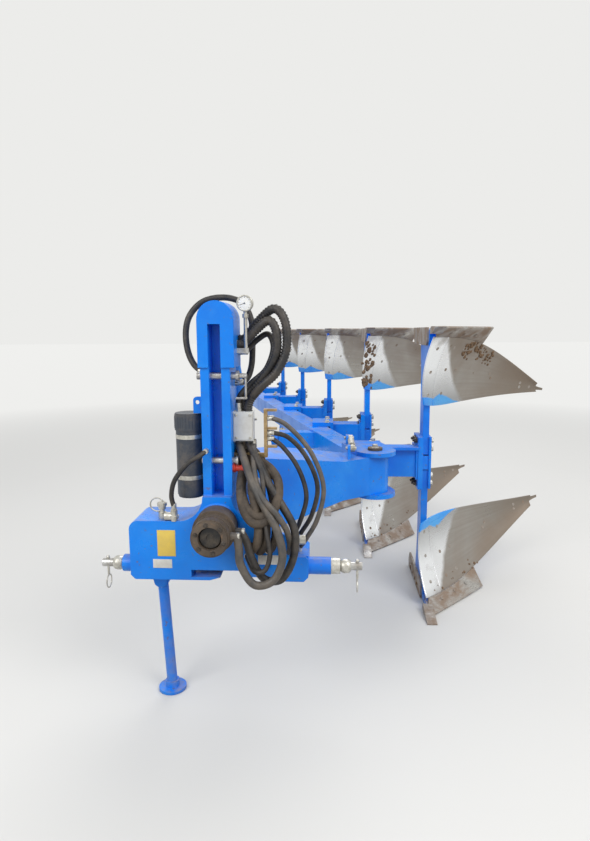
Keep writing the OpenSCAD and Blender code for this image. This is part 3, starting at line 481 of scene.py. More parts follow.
def worn_board():
    """Polished steel: brighter beside the shin by wear and a painted highlight, film on the wing, paint left
    at the inner top corner.
    """
    s = Shader("worn_board")
    flow = s.surface_map()
    u, v = s.part(flow, "X"), s.part(flow, "Y")
    streak = s.noise(1.0, 4, 0.6, stretch=(1.6, 18, 1), vector=flow)
    scratch = s.noise(1.0, 3, 0.7, stretch=(7, 190, 1), vector=flow)
    cloud = s.noise(2.6, 5, 0.5, distortion=0.4)
    wobble = wavering(s)
    reach = s.minus(s.minus(u, s.times(v, BAND_LEAN)), wobble)
    band = s.ramp(reach, BAND_OUTER, BAND_INNER)
    color = s.mix(s.ramp(streak, 0.25, 0.75, 0.15, 0.85), SCUFFED, POLISHED)
    # Browner and darker towards the wing's tip
    color = s.mix(s.ramp(u, 0.55, 1.0, 0.0, 0.75), color, WING_TIP_TONE)
    # Beside the leg: steel rubbed bright, with a painted highlight whitest low on the board
    color = s.mix(band, color, rubbed_and_highlight_tone(s, v, wobble))
    wear = s.plus(s.ramp(v, 0.60, 0.05, 0.0, 0.22), s.ramp(u, 0.40, 1.0, 0.0, 0.14))
    film = s.times(s.ramp(s.plus(cloud, wear), 0.44, 0.84), s.plus(0.72, s.times(band, -0.52)))
    color = s.mix(film, color, FILM)
    mud = s.ramp(s.plus(s.noise(6.5, 9, 0.72), s.ramp(v, 0.9, 0.3, 0.0, 0.05)), 0.700, 0.74)
    color = s.mix(mud, color, SOIL)
    off_middle = s.math("ABSOLUTE", s.minus(u, PAINT_MIDDLE))
    lens = s.minus(s.plus(v, wobble), s.times(off_middle, PAINT_SLOPE))
    painted = s.ramp(lens, PAINT_LOW, PAINT_FULL)
    color = s.mix(painted, color, paint_left(s, cloud))
    bare = s.minus(1.0, s.larger(s.larger(s.times(film, 0.9), mud), painted))
    rough = s.plus(s.ramp(streak, 0.25, 0.75, 0.20, 0.28), s.times(s.larger(film, mud), 0.42))
    height = s.plus(s.plus(s.times(scratch, 0.22), s.times(film, 0.5)), s.times(mud, 2.4))
    s.finish(color, rough, bare, s.bump(height, 0.12, 0.0014))


def bright_shin():
    """The cutting edge beside the leg, rubbed brighter than the board, with a painted highlight whitest in
    its lower half.
    """
    s = Shader("bright_shin")
    flow = s.surface_map()
    v = s.part(flow, "Y")
    scratch = s.noise(1.0, 3, 0.7, stretch=(9, 60, 1), vector=flow)
    cloud = s.noise(5, 5, 0.6)
    wobble = wavering(s)
    # Rubbed steel with a painted highlight, whitest low on the shin
    color = rubbed_and_highlight_tone(s, v, wobble)
    film = s.times(s.ramp(s.plus(cloud, s.ramp(v, 0.4, 0.0, 0.0, 0.14)), 0.58, 0.76), 0.5)
    color = s.mix(film, color, FILM)
    painted = s.ramp(s.plus(v, wobble), 0.87, 0.89)
    color = s.mix(painted, color, paint_left(s, cloud))
    rough = s.plus(s.ramp(scratch, 0.3, 0.7, 0.18, 0.26), s.times(film, 0.4))
    bare = s.minus(1.0, s.larger(film, painted))
    s.finish(color, rough, bare, s.bump(s.plus(scratch, film), 0.10, 0.001))


def share_steel():
    s = Shader("share_steel")
    scratch = s.noise(26, 3, 0.7, stretch=(1.2, 0.9, 22))
    cloud = s.noise(7, 7, 0.65, distortion=0.6)
    color = s.mix(s.ramp(scratch, 0.3, 0.72), rgb(150, 146, 140), rgb(206, 204, 200))
    filmed = s.times(s.ramp(cloud, 0.36, 0.58), 0.9)
    color = s.mix(filmed, color, rgb(134, 112, 92))
    rust = s.times(s.ramp(s.noise(22, 8, 0.75), 0.58, 0.72), 0.5)
    color = s.mix(rust, color, RUST)
    metal = s.minus(1.0, s.larger(filmed, rust))
    rough = s.plus(s.ramp(scratch, 0.3, 0.7, 0.24, 0.36), s.times(filmed, 0.45))
    height = s.plus(filmed, s.times(scratch, 0.4))
    s.finish(color, rough, metal, s.bump(height, 0.25, 0.0015, edge=0.002))


def plain_metal(name, light, dark, low=0.28, high=0.5, scale=30, threaded=False):
    """Dull or bright metal, if need be with a thread round its length, which lies along Y."""
    s = Shader(name)
    grain = s.noise(scale, 6, 0.65)
    color = s.mix(s.ramp(grain, 0.35, 0.68), light, dark)
    if threaded:
        wave = s.add("ShaderNodeTexWave", wave_type="BANDS", bands_direction="Y", Scale=55.0, Vector=s.coords)
        relief = s.bump(wave.outputs["Fac"], 0.4, 0.0015)
    else:
        relief = s.bump(grain, 0.15, 0.001, edge=0.0012)
    s.finish(color, s.ramp(grain, 0.3, 0.7, low, high), 0.85, relief)


def dull_cast():
    s = Shader("dull_cast")
    grain = s.noise(70, 6, 0.7)
    cloud = s.noise(9, 6, 0.6)
    color = s.mix(s.ramp(cloud, 0.35, 0.7), rgb(104, 92, 80), rgb(66, 57, 50))
    color = s.mix(s.times(s.ramp(grain, 0.56, 0.7), 0.8), color, rgb(134, 104, 76))
    s.finish(color, s.ramp(cloud, 0.3, 0.7, 0.5, 0.78), 0.3, s.bump(grain, 0.5, 0.002, edge=0.002))


def rubber(name, base, dusty=0.35, scale=60):
    s = Shader(name)
    grain = s.noise(scale, 5, 0.6)
    dirt = s.times(s.ramp(s.noise(11, 7, 0.7), 0.42, 0.70), dusty)
    color = s.mix(dirt, base, rgb(122, 110, 96))
    s.finish(color, s.ramp(grain, 0.3, 0.7, 0.42, 0.66), 0.0, s.bump(grain, 0.25, 0.001))


def woven_sleeve():
    """Textile sleeve pulled over a bundle of hoses, dusty in its weave."""
    s = Shader("woven_sleeve")
    weave = s.add("ShaderNodeTexVoronoi", Scale=260.0, Vector=s.coords)
    folds = s.noise(16, 5, 0.6)
    dirt = s.times(s.ramp(s.noise(10, 7, 0.7), 0.36, 0.68), 0.75)
    color = s.mix(dirt, rgb(46, 42, 40), rgb(112, 98, 82))
    height = s.plus(s.times(weave.outputs["Distance"], 0.5), s.times(folds, 2.0))
    s.finish(color, 0.82, 0.0, s.bump(height, 0.5, 0.002))


def plastic(name, base, rough=0.4, dusty=0.4):
    s = Shader(name)
    grain = s.noise(160, 3, 0.5)
    dirt = s.times(s.ramp(s.noise(9, 7, 0.7), 0.48, 0.75), dusty)
    sheen = s.ramp(grain, 0.3, 0.7, rough - 0.06, rough + 0.1)
    s.finish(s.mix(dirt, base, DUST), sheen, 0.0, s.bump(grain, 0.08, 0.0006))


def earth():
    s = Shader("earth")
    grain = s.noise(60, 10, 0.75)
    color = s.mix(s.ramp(grain, 0.35, 0.65), rgb(140, 114, 88), rgb(92, 72, 54))
    s.finish(color, 0.92, 0.0, s.bump(grain, 0.9, 0.004))


blue_paint()
worn_board()
bright_shin()
share_steel()
plain_metal("shaft_steel", rgb(196, 196, 194), rgb(146, 140, 132))
plain_metal("zinc", rgb(210, 208, 200), rgb(168, 164, 154), 0.32, 0.55, 45)
plain_metal("threaded_zinc", rgb(206, 204, 196), rgb(150, 144, 132), 0.34, 0.55, 40, threaded=True)
plain_metal("dark_bolt", rgb(96, 90, 84), rgb(60, 54, 50), 0.4, 0.6, 80)
dull_cast()
rubber("hose_rubber", rgb(30, 30, 32))
rubber("grey_hose", rgb(70, 68, 66), 0.7)
woven_sleeve()
rubber("tyre_rubber", rgb(34, 33, 32), 0.65, 50)
plastic("dark_plastic", rgb(58, 64, 74), 0.42)
plastic("red_cap", rgb(206, 62, 46), 0.36)
plain_metal("tan_bar", rgb(184, 158, 116), rgb(136, 114, 84), 0.4, 0.6)
plastic("white_plate", rgb(222, 222, 218), 0.4, 0.5)
plastic("grey_box", rgb(206, 206, 202), 0.45, 0.45)
plastic("yellow_plate", rgb(226, 196, 92), 0.4, 0.3)
plastic("dial_white", rgb(236, 236, 232), 0.3, 0.1)
plastic("dark_face", rgb(20, 20, 22), 0.5, 0.3)
earth()

SLOT_MATERIAL = {"worn_steel": "share_steel", "dull_steel": "dull_cast", "tyre": "tyre_rubber"}
OWN_MATERIAL = {
    "lower_link_shaft": "shaft_steel", "top_link_pin": "shaft_steel", "spare_link_pin": "shaft_steel",
    "cylinder_rod": "shaft_steel", "width_spindle": "threaded_zinc", "junction_box": "grey_box",
}


def dress(obj, *materials):
    slots = obj.data.materials
    while len(slots) > len(materials):
        slots.pop()
    for i, material in enumerate(materials):
        if i < len(slots):
            slots[i] = MATS[material]
        else:
            slots.append(MATS[material])
    return obj


def dress_nodes():
    slots = {row["node"]: row["material_slot"] for row in frame["record"]["subparts"]}
    for name, obj in NODES.items():
        dress(obj, OWN_MATERIAL.get(name) or SLOT_MATERIAL.get(slots[name], slots[name]))


def ride(obj, body, *materials):
    """Gives a finished piece its material and the body that it moves with."""
    if materials:
        dress(obj, *materials)
    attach(obj, body)
    return obj


def round_piece(name, outline, sides, point, direction, body, material):
    ride(place_at(turned(name, outline, sides), point, direction), body, material)


# Soil-working pieces

# Edge line, thicknesses and gaps in mm; tails and bolts by u and v on the soil surface
EDGE_LINE = ((0, 0, 0), (150, 150, 0), (300, 310, 0), (440, 470, 0))
SHARE_U, SHARE_START, SHARE_T, SHARE_LIFT = 0.52, 0.03, 12, 9.5
SEAT_GAP, TAIL_T, SHIN_GAP_U = 0.3, 8, 0.0006
TAIL_ROWS = ((0.88, 0.40, 0.80), (1.0, 0.40, 0.80), (1.04, 0.48, 0.70))
BOARD_BOLTS = ((0.24, 0.14), (0.24, 0.46), (0.36, 0.14), (0.36, 0.46), (0.25, 0.82),
               (0.69, 0.46), (0.71, 0.55), (0.91, 0.50), (0.91, 0.70), (0.965, 0.60))
SHIN_BOLTS = ((0.07, 0.16), (0.07, 0.50), (0.07, 0.84))
SHARE_BOLTS = (0.24, 0.50, 0.74)
SHARE_BOLT_UP, SHARE_BOLT_OUT = 0.62, 2.4
# Rounding of the plates and outline of a countersunk bolt head, in metres
PLATE_EDGE = 0.0018
BOLT_HEAD = ((0.011, 0), (0.0106, 0.001), (0.0096, 0.0014), (0.0042, 0.0014), (0.0038, 0.0006))


def curved_plate(k, upper, surface, thick, cuts, front):
    """Bends a grid onto a surface and thickens it; surface(s, t) gives a point and its u and v."""
    deselect()
    bpy.ops.mesh.primitive_grid_add(x_subdivisions=cuts[0], y_subdivisions=cuts[1], size=2, calc_uvs=True)
    piece = bpy.context.object
    mesh = piece.data
    places = [surface((vertex.co.x + 1) / 2, (vertex.co.y + 1) / 2) for vertex in mesh.vertices]
    for vertex, (point, uv) in zip(mesh.vertices, places):
        vertex.co = on_body(k, upper, point)
    flow = mesh.uv_layers[0]
    flow.name = "UVMap"
    for loop in mesh.loops:
        flow.data[loop.index].uv = places[loop.vertex_index][1]
    if upper:
        edit_all(piece)
        bpy.ops.mesh.flip_normals()
        bpy.ops.object.mode_set(mode="OBJECT")
    dress(piece, front, "blue_paint")
    modify(piece, "SOLIDIFY", thickness=thick * MM, offset=-1, material_offset=1, use_even_offset=True)
    return rounded(piece, PLATE_EDGE, 60)


def board_surface(s, t):
    u = blend(SHIN_U + SHIN_GAP_U, 1, s)
    return board(u, t), (u, t)


def shin_surface(s, t):
    u = blend(0, SHIN_U, s)
    return board(u, t), (u, t)


def share_surface(s, t):
    along = blend(SHARE_START, 1, s)
    edge, top = cubic(EDGE_LINE, along) + Vector((0, 0, SHARE_LIFT)), cubic(BOARD_LOW, along * SHARE_U)
    return edge.lerp(top - Vector((0, 0, 2 * SEAT_GAP)), t), (s, t)


def tail_surface(s, t):
    u = blend(TAIL_ROWS[0][0], TAIL_ROWS[-1][0], s)
    for (u0, low0, high0), (u1, low1, high1) in zip(TAIL_ROWS, TAIL_ROWS[1:]):
        if u <= u1 + 1e-6:
            part = (u - u0) / (u1 - u0)
            v = blend(blend(low0, low1, part), blend(high0, high1, part), t)
            return board(u, v) - (BOARD_T + SEAT_GAP) * board_normal(u, v), (u, v)


def soil_surfaces(upper):
    side = "upper" if upper else "lower"
    rows = (
        ("mouldboard_skins_", "mouldboards_", board_surface, BOARD_T, (34, 16), "worn_board"),
        ("shin_skins_", "shins_", shin_surface, BOARD_T, (6, 16), "bright_shin"),
        ("share_skins_", "shares_", share_surface, SHARE_T, (14, 3), "share_steel"),
        ("tail_skins_", "tail_pieces_", tail_surface, TAIL_T, (8, 6), "worn_board"),
    )
    for name, node, surface, thick, cuts, front in rows:
        plates = [curved_plate(k, upper, surface, thick, cuts, front) for k in range(BODY_COUNT)]
        piece = ride(joined(name + side, plates), "frame")
        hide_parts(node + side)


def share_place(s):
    """Point and normal of a share bolt, from s along the share."""
    edge, top = share_surface(s, 0)[0], share_surface(s, 1)[0]
    along = share_surface(s + 0.01, 0)[0] - edge
    return edge.lerp(top, SHARE_BOLT_UP), along.cross(top - edge).normalized()


def plough_bolts(upper):
    """Countersunk heads, nearly flush in boards, shins and shares."""
    places = []
    for k in range(BODY_COUNT):
        places += [on_board(k, upper, u, v) for u, v in BOARD_BOLTS + SHIN_BOLTS]
        for s in SHARE_BOLTS:
            point, normal = share_place(s)
            places.append((on_body(k, upper, point + normal * SHARE_BOLT_OUT), facing(upper, normal)))
    name = "plough_bolts_upper" if upper else "plough_bolts_lower"
    ride(copies(name, turned(name, BOLT_HEAD, 14), places), "frame", "share_steel")


def clod(point, direction, size):
    """One flat lump of soil on a surface: a small ball with its faces pushed in and out."""
    deselect()
    bpy.ops.mesh.primitive_ico_sphere_add(subdivisions=2, radius=1)
    lump = settle(bpy.context.object, "clod")
    for vertex in lump.data.vertices:
        vertex.co *= random.uniform(0.72, 1.15)
    smooth(lump, 70)
    wide, long, flat = size * random.uniform(0.8, 1.3), size * random.uniform(0.8, 1.3), size * 0.55
    lump.data.transform(Matrix.Diagonal((wide, long, flat, 1)))
    return place_at(lump, point, direction, random.uniform(0, 6))


def caked_soil():
    """Soil caked down one upper shin and on one upper board, and lumps on lower boards and landsides."""
    places = []
    for i in range(46):
        u, v = random.uniform(-0.02, 0.13), random.uniform(0.12, 1.0)
        places.append((*on_board(1, True, u, v), random.uniform(0.008, 0.020)))
    for i in range(70):
        u, v = random.uniform(0.36, 0.66), random.triangular(0.01, 0.34, 0.06)
        places.append((*on_board(0, True, u, v), random.uniform(0.005, 0.015)))
    for k in range(BODY_COUNT):
        for i in range(14):
            u, v = random.uniform(0.0, 0.6), random.uniform(0.0, 0.14)
            places.append((*on_board(k, False, u, v), random.uniform(0.003, 0.009)))
        for i in range(8):
            landside = (2, random.uniform(320, 780), random.uniform(20, 90))
            places.append((on_body(k, False, landside), -X, random.uniform(0.004, 0.011)))
    ride(joined("caked_soil", [clod(*row) for row in places]), "frame", "earth")


# Bolts and welds

def hex_bolt(name, radius, stub=0.0):
    """Hexagon head on its washer, sized by its radius, with the end of its thread where it is a nut."""
    parts = [
        turned(name, [(radius * 1.35, 0), (radius * 1.35, radius * 0.16), (radius * 1.28, radius * 0.2)], 20),
        turned(name, [(radius, radius * 0.2), (radius, radius * 0.98), (radius * 0.86, radius * 1.14)], 6),
    ]
    if stub:
        top = radius * 1.12
        thread = [(radius * 0.52, top), (radius * 0.52, top + stub), (radius * 0.40, top + stub * 1.2)]
        parts.append(turned(name, thread, 12))
    return joined(name, parts)


def bolts(name, radius, places, body, material, stub=0.0):
    ride(copies(name, hex_bolt(name, radius, stub), places), body, material)


def frame_bolts():
    nuts, heads = [], []
    top = ARM_H / 2 + SADDLE_T
    for x, y in ROWS:
        mid = y + BEAM_MID_Y
        for dy in (-BOLT_DY, BOLT_DY):
            for dz in BOLT_ZS:
                for side in (-1, 1):
                    heads.append(((x + LEG_X + LEG_T + CLAMP_T, mid + dy, AXIS_Z + side * dz), X))
                    nuts.append(((x - LEG_X, mid + dy, AXIS_Z + side * dz), -X))
        for dy in (-SADDLE_BOLT_DY, SADDLE_BOLT_DY):
            heads.append(((x - BEAM_DX + SADDLE_BOLT_DX, mid + dy, AXIS_Z + top), Z))
            nuts.append(((x - BEAM_DX + SADDLE_BOLT_DX, mid + dy, AXIS_Z - top), -Z))
    heads.append(((PIVOT.x, PIVOT.y, PIVOT.z + PIVOT_HEAD), Z))
    for point in ring_points((0, FLANGE_Y, AXIS_Z), -Y, FLANGE_BOLTS_R, 12, 0.2):
        heads.append((point, -Y))
    bolts("frame_bolt_heads", FRAME_BOLT_R, heads, "frame", "zinc")
    bolts("frame_nuts", FRAME_BOLT_R, nuts, "frame", "dark_bolt", 0.009)


def clamp_rods():
    """Round rods between the saddle plates, in front of and behind each arm."""
    half, radius = 0.074, 0.010
    rods = []
    for x, y in ROWS:
        for dy in (-SADDLE_BOLT_DY, SADDLE_BOLT_DY):
            place = Vector((x - BEAM_DX + SADDLE_BOLT_DX, y + BEAM_MID_Y + dy, AXIS_Z))
            rods.append(tube("clamp_rods", [place - Z * half, place + Z * half], radius, 16))
    ride(joined("clamp_rods", rods), "frame", "zinc")


def box_bead(x, y0, y1, z0, z1):
    """Weld seams round a square bar that runs along X."""
    corners = [(x, y0, z0), (x, y1, z0), (x, y1, z1), (x, y0, z1)]
    return [bead(corners[i], corners[(i + 1) % 4]) for i in range(4)]


def weld_seams():
    bracket_seam, saddle_seam = 0.012, 0.165
    cheek_inside, sleeve_r, thin_bead = 0.026, 0.038, 0.003
    seams = []
    for x, y in ROWS:
        mid = y + BEAM_MID_Y
        low, high = mid - ARM_D / 2, mid + ARM_D / 2
        for place in (x - LEG_X - bracket_seam, x - BEAM_DX + saddle_seam):
            seams += box_bead(place, low, high, AXIS_Z - ARM_H / 2, AXIS_Z + ARM_H / 2)
    ride(joined("frame_welds", seams), "frame", "blue_paint")
    seams = [
        bead((-TOWER_W / 2, TOWER_FRONT, TOWER_FOOT_Z), (-cheek_inside, TOWER_FRONT, TOWER_FOOT_Z)),
        bead((cheek_inside, TOWER_FRONT, TOWER_FOOT_Z), (TOWER_W / 2, TOWER_FRONT, TOWER_FOOT_Z)),
        round_bead((0, BASE_FRONT, AXIS_Z), Y, HOUSING_R),
        round_bead((0, BASE_BACK, AXIS_Z), Y, HOUSING_R),
    ]
    for side in (-1, 1):
        cheek = side * TOWER_W / 2
        seams.append(bead((cheek, TOWER_FRONT, TOWER_FOOT_Z), (cheek, BASE_BACK, TOWER_FOOT_Z)))
        seams.append(round_bead((side * LOBE_X, 0, 0), X, sleeve_r, thin_bead))
    ride(joined("headstock_welds", seams), "headstock", "blue_paint")


# Headstock pieces

def blank_plates():
    """Plates without any words, where the photograph has labels."""
    thick, edge = 0.0016, 0.0007
    front = BASE_FRONT - thick / 2
    yellow = plate("yellow_plate", (0.080, thick, 0.118), (-0.226, front, 0.115), edge)
    ride(yellow, "headstock", "yellow_plate")
    whites = [
        plate("white_plates", (0.084, thick, 0.040), (-0.246, front, 0.022), edge),
        plate("white_plates", (0.098, thick, 0.042), (0.222, front, 0.046), edge),
    ]
    ride(joined("white_plates", whites), "headstock", "white_plate")


def gauge_face():
    """Rim, dial, scale marks and needle of the pressure gauge."""
    center = Vector((0.122, 0.030, TOWER_TOP - 0.010))
    rim = [(0.0345, 0), (0.0345, 0.004), (0.0325, 0.006), (0.030, 0.006), (0.0296, 0.002)]
    round_piece("gauge_ring", rim, 40, center, -Y, "headstock", "zinc")
    dial = [(0.0294, 0.0012), (0.0294, 0.0024), (0.0288, 0.0026)]
    round_piece("gauge_dial", dial, 40, center, -Y, "headstock", "dial_white")
    marks = []
    mark_front, mark_from, mark_to = 0.003, 0.022, 0.027
    for i in range(11):
        angle = math.radians(225 - 27 * i)
        out = Vector((math.cos(angle), 0, math.sin(angle)))
        start = center - Y * mark_front
        marks.append(tube("gauge_marks", [start + out * mark_from, start + out * mark_to], 0.0006, 6))
    needle_front, needle_len, needle_angle = 0.0034, 0.021, math.radians(200)
    lean = Vector((math.cos(needle_angle), 0, math.sin(needle_angle)))
    start = center - Y * needle_front
    marks.append(tube("gauge_marks", [start, start + lean * needle_len], 0.0008, 6))
    hub = turned("gauge_marks", [(0.003, 0.0026), (0.003, 0.0046), (0.0022, 0.005)], 16)
    marks.append(place_at(hub, center, -Y))
    ride(joined("gauge_marks", marks), "headstock", "dark_face")


def linch_pins():
    """Pins through the ends of the link pins, each with its round spring clip hanging below."""
    from_end, foot_z, hoop_z, hoop_r, wire_r = 0.022, -0.060, -0.088, 0.029, 0.0031
    outline = [(0.0036, 0), (0.0054, 0.004), (0.0054, 0.080), (0.0078, 0.081), (0.0078, 0.088),
               (0.005, 0.091)]
    parts = []
    for side in (-1, 1):
        x = LINK_OFFSET + side * (LINK_SPAN / 2 + LINK_PIN_LEN - from_end)
        parts.append(place_at(turned("linch_pin", outline, 16), (x, 0, foot_z)))
        hoop = ring_points((x, 0, hoop_z), X, hoop_r, 48)
        parts.append(tube("linch_pin", hoop, wire_r, 12, cyclic=True))
    piece = ride(joined("linch_pins_detailed", parts), "headstock", "zinc")
    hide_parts("linch_pins")


def link_balls():
    """Loose balls that the tractor's lower links close on, left on the link pins."""
    outline = [(0.0195, -0.0225), (0.0235, -0.0225), (0.029, -0.015), (0.0318, -0.006),
               (0.0318, 0.006), (0.029, 0.015), (0.0235, 0.0225), (0.0195, 0.0225)]
    from_shoulder = 0.0235
    balls = []
    for x in (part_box("link_collar")[1][0] + from_shoulder, LINK_OFFSET - LINK_SPAN / 2 - from_shoulder):
        balls.append(place_at(ring_turned("link_balls", outline, 40), (x, 0, 0), X))
    ride(joined("link_balls", balls), "headstock", "zinc")


def rotary_union_bolts():
    """Small bolts in a ring on the union's front, and its dark cover."""
    circle_r, cover_depth = 0.0595, 0.026
    small = [(point, -Y) for point in ring_points((0, UNION_FRONT, AXIS_Z), Y, circle_r, 6, 0.3)]
    bolts("union_bolts", 0.0075, small, "headstock", "dark_bolt")
    cover = [(0.046, 0), (0.046, 0.006), (0.042, 0.010), (0.016, 0.010), (0.014, 0.007)]
    round_piece("union_face", cover, 40, (0, UNION_FRONT + cover_depth, AXIS_Z), -Y, "headstock", "dark_face")


def red_dust_cap():
    outline = [(0.019, 0), (0.019, 0.010), (0.014, 0.013), (0.014, 0.034), (0.016, 0.036), (0.016, 0.046),
               (0.011, 0.049)]
    round_piece("red_dust_cap", outline, 24, (TOWER_W / 2, 0.004, 0.436), X, "headstock", "red_cap")


def coupler_caps():
    """Dust caps beside the couplers on the left of the base, one on its wire hook."""
    outline = [(0.016, 0), (0.016, 0.012), (0.021, 0.014), (0.021, 0.026), (0.015, 0.031)]
    cap = turned("coupler_caps", outline, 24)
    parts = [place_at(cap, (-0.250, -0.020, LOBE_TOP + 0.044))]
    hook = ring_points((-0.272, -0.020, LOBE_TOP + 0.062), Y, 0.030, 40)
    parts.append(tube("coupler_caps", hook, 0.0032, 10, cyclic=True))
    outline = [(0.010, 0), (0.018, 0.004), (0.018, 0.040), (0.013, 0.046), (0.013, 0.058)]
    lying = turned("coupler_caps", outline, 24)
    parts.append(place_at(lying, (-0.236, -0.046, LOBE_TOP + 0.0185), X))
    ride(joined("coupler_caps", parts), "headstock", "zinc")


def box_fittings():
    """Screws in the four corners of the junction box's front."""
    front, across, heights = 0.020, (0.076, 0.137), (0.566, 0.666)
    corners = [((x, front, z), -Y) for x in across for z in heights]
    bolts("box_screws", 0.0045, corners, "headstock", "zinc")


def tube_fittings():
    """Ribs round the lid of the document tube and the two straps round the tube."""
    center = Vector((-0.134, 0.046, 0))
    rib_count, rib_from_axis, rib_low, rib_top = 28, 0.0622, 0.608, 0.662
    ribs = []
    for i in range(rib_count):
        angle = 2 * math.pi * i / rib_count
        foot = center + Vector((math.cos(angle), math.sin(angle), 0)) * rib_from_axis
        ribs.append(tube("tube_ribs", [foot + Z * rib_low, foot + Z * rib_top], 0.0022, 6))
    ride(joined("tube_ribs", ribs), "headstock", "dark_plastic")
    inside, outside, half = 0.060, 0.0604, 0.009
    bands = []
    for z in (0.392, 0.572):
        outline = [(inside, z - half), (outside, z - half), (outside, z + half), (inside, z + half)]
        bands.append(place_at(turned("tube_straps", outline, 48), center))
    ride(joined("tube_straps", bands), "headstock", "zinc")


def stand_clip():
    """Spring clip through the pin of the stand leg."""
    eye = Vector((-0.285, 0.028, -0.098))
    wire = ((0, 0, 34), (0, 0, 6), (0, 0, -20), (4, 0, -30), (12, 0, -26), (13, 0, -10), (9, 0, 0),
            (14, 0, 10), (12, 0, 30))
    clip = [eye + Vector(p) * MM for p in wire]
    ride(tube("stand_clip", clip, 0.0018, 8), "headstock", "zinc")


def cylinder_fittings():
    """Gland of the turning cylinder and the two pipe stubs on its barrel."""
    top, eye = Vector((0, 0.236, 1.000)), Vector((0.118, 0.236, AXIS_Z + 0.095))
    barrel_len, barrel_r = 0.424, 0.045
    way = (eye - top).normalized()
    outline = [(0.0475, 0), (0.048, 0.004), (0.048, 0.030), (0.040, 0.036), (0.026, 0.036)]
    round_piece("cylinder_gland", outline, 32, top + way * barrel_len, way, "headstock", "dark_bolt")
    out = way.cross(Y).normalized()
    if out.x < 0:
        out = -out
    stubs = []
    for reach in (0.070, 0.400):
        stub = hex_bolt("cylinder_ports", 0.013, 0.014)
        stubs.append(place_at(stub, top + way * reach + out * barrel_r, out))
    ride(joined("cylinder_ports", stubs), "headstock", "zinc")


# Hoses, by the routes of the solids in mm

HOSE_D, BIG_HOSE_D, ARC_D, LOOP_D, SLEEVE_D = 21, 26, 28, 34, 38
BOX_LOW, BOX_TOP = 552, 680
CHEEK_X, CAP_R = TOWER_W / 2 * 1000, 83
HOSE_LINES = {
    "upper_hoses": (
        (SLEEVE_D, "ribbed_guard", (
            (CAP_R, 100, 990), (CAP_R + 26, 100, 990), (176, 90, 1070), (246, 60, 1118), (292, 40, 1060),
            (296, 30, 945), (254, 20, 850), (190, 22, 790), (140, 44, 735), (126, 52, BOX_TOP + 16),
            (126, 52, BOX_TOP))),
        (BIG_HOSE_D, "hose_rubber", (
            (CAP_R, 130, 935), (CAP_R + 24, 130, 935), (160, 132, 985), (212, 116, 1010), (236, 92, 950),
            (205, 72, 860), (140, 62, 800), (92, 52, 745), (84, 52, BOX_TOP + 16), (84, 52, BOX_TOP))),
        (ARC_D, "hose_rubber", (
            (-CHEEK_X, 112, 850), (-CHEEK_X - 22, 112, 850), (-122, 120, 880), (-150, 132, 940),
            (-160, 148, 1020), (-146, 164, 1090), (-100, 178, 1146), (-40, 186, 1170), (36, 186, 1170),
            (96, 180, 1142), (128, 178, 1080), (134, 178, 1010), (134, 174, 940), (132, 158, 880),
            (122, 134, 832), (104, 116, 806), (CHEEK_X + 22, 110, 800), (CHEEK_X, 110, 800))),
    ),
    "middle_hoses": (
        (LOOP_D, "grey_hose", (
            (84, 52, BOX_LOW), (84, 52, BOX_LOW - 20), (116, -14, 474), (152, -80, 404), (205, -130, 315),
            (264, -160, 215), (288, -175, 100), (250, -188, 8), (172, -198, -6), (118, -200, 80),
            (112, -198, 150), (101, -198, 200), (79.3, -198, 200))),
        (LOOP_D, "hose_rubber", (
            (128, 52, BOX_LOW), (128, 52, BOX_LOW - 20), (172, -10, 474), (218, -60, 395), (278, -90, 305),
            (334, -110, 200), (330, -125, 84), (280, -135, -8), (206, -140, -4), (158, -142, 80),
            (138, -142, 150), (111, -142, 200), (91.3, -142, 200))),
        (SLEEVE_D, "woven_sleeve", (
            (CHEEK_X, 120, 456), (CHEEK_X + 24, 120, 456), (122, 84, 450), (146, 10, 432), (164, -52, 380),
            (196, -84, 300), (214, -104, 220), (214, -114, 150), (194, -106, 108), (180, -84, 96),
            (180, -60, 96))),
    ),
    "lower_hoses": (
        (HOSE_D, "grey_hose", (
            (210, 46, 650), (228, 46, 650), (300, 20, 620), (400, 0, 510), (455, -10, 360), (430, -10, 220),
            (378, 0, 120), (350, 14, 76), (350, 14, 60))),
        (HOSE_D, "hose_rubber", (
            (210, 46, 560), (228, 46, 560), (280, 40, 520), (345, 30, 430), (380, 20, 310), (350, 20, 190),
            (310, 30, 110), (300, 36, 76), (300, 36, 60))),
        (HOSE_D, "hose_rubber", (
            (210, 46, 585), (228, 46, 585), (300, 52, 564), (378, 44, 480), (428, 42, 350), (404, 46, 220),
            (354, 54, 130), (327, 62, 76), (327, 62, 60))),
    ),
    "side_hose": (
        (HOSE_D, "hose_rubber", (
            (-45, -30, 520), (-45, -46, 520), (-66, -70, 505), (-120, -84, 470), (-175, -76, 400),
            (-196, -60, 330), (-190, -50, 276), (-190, -50, 262))),
    ),
}


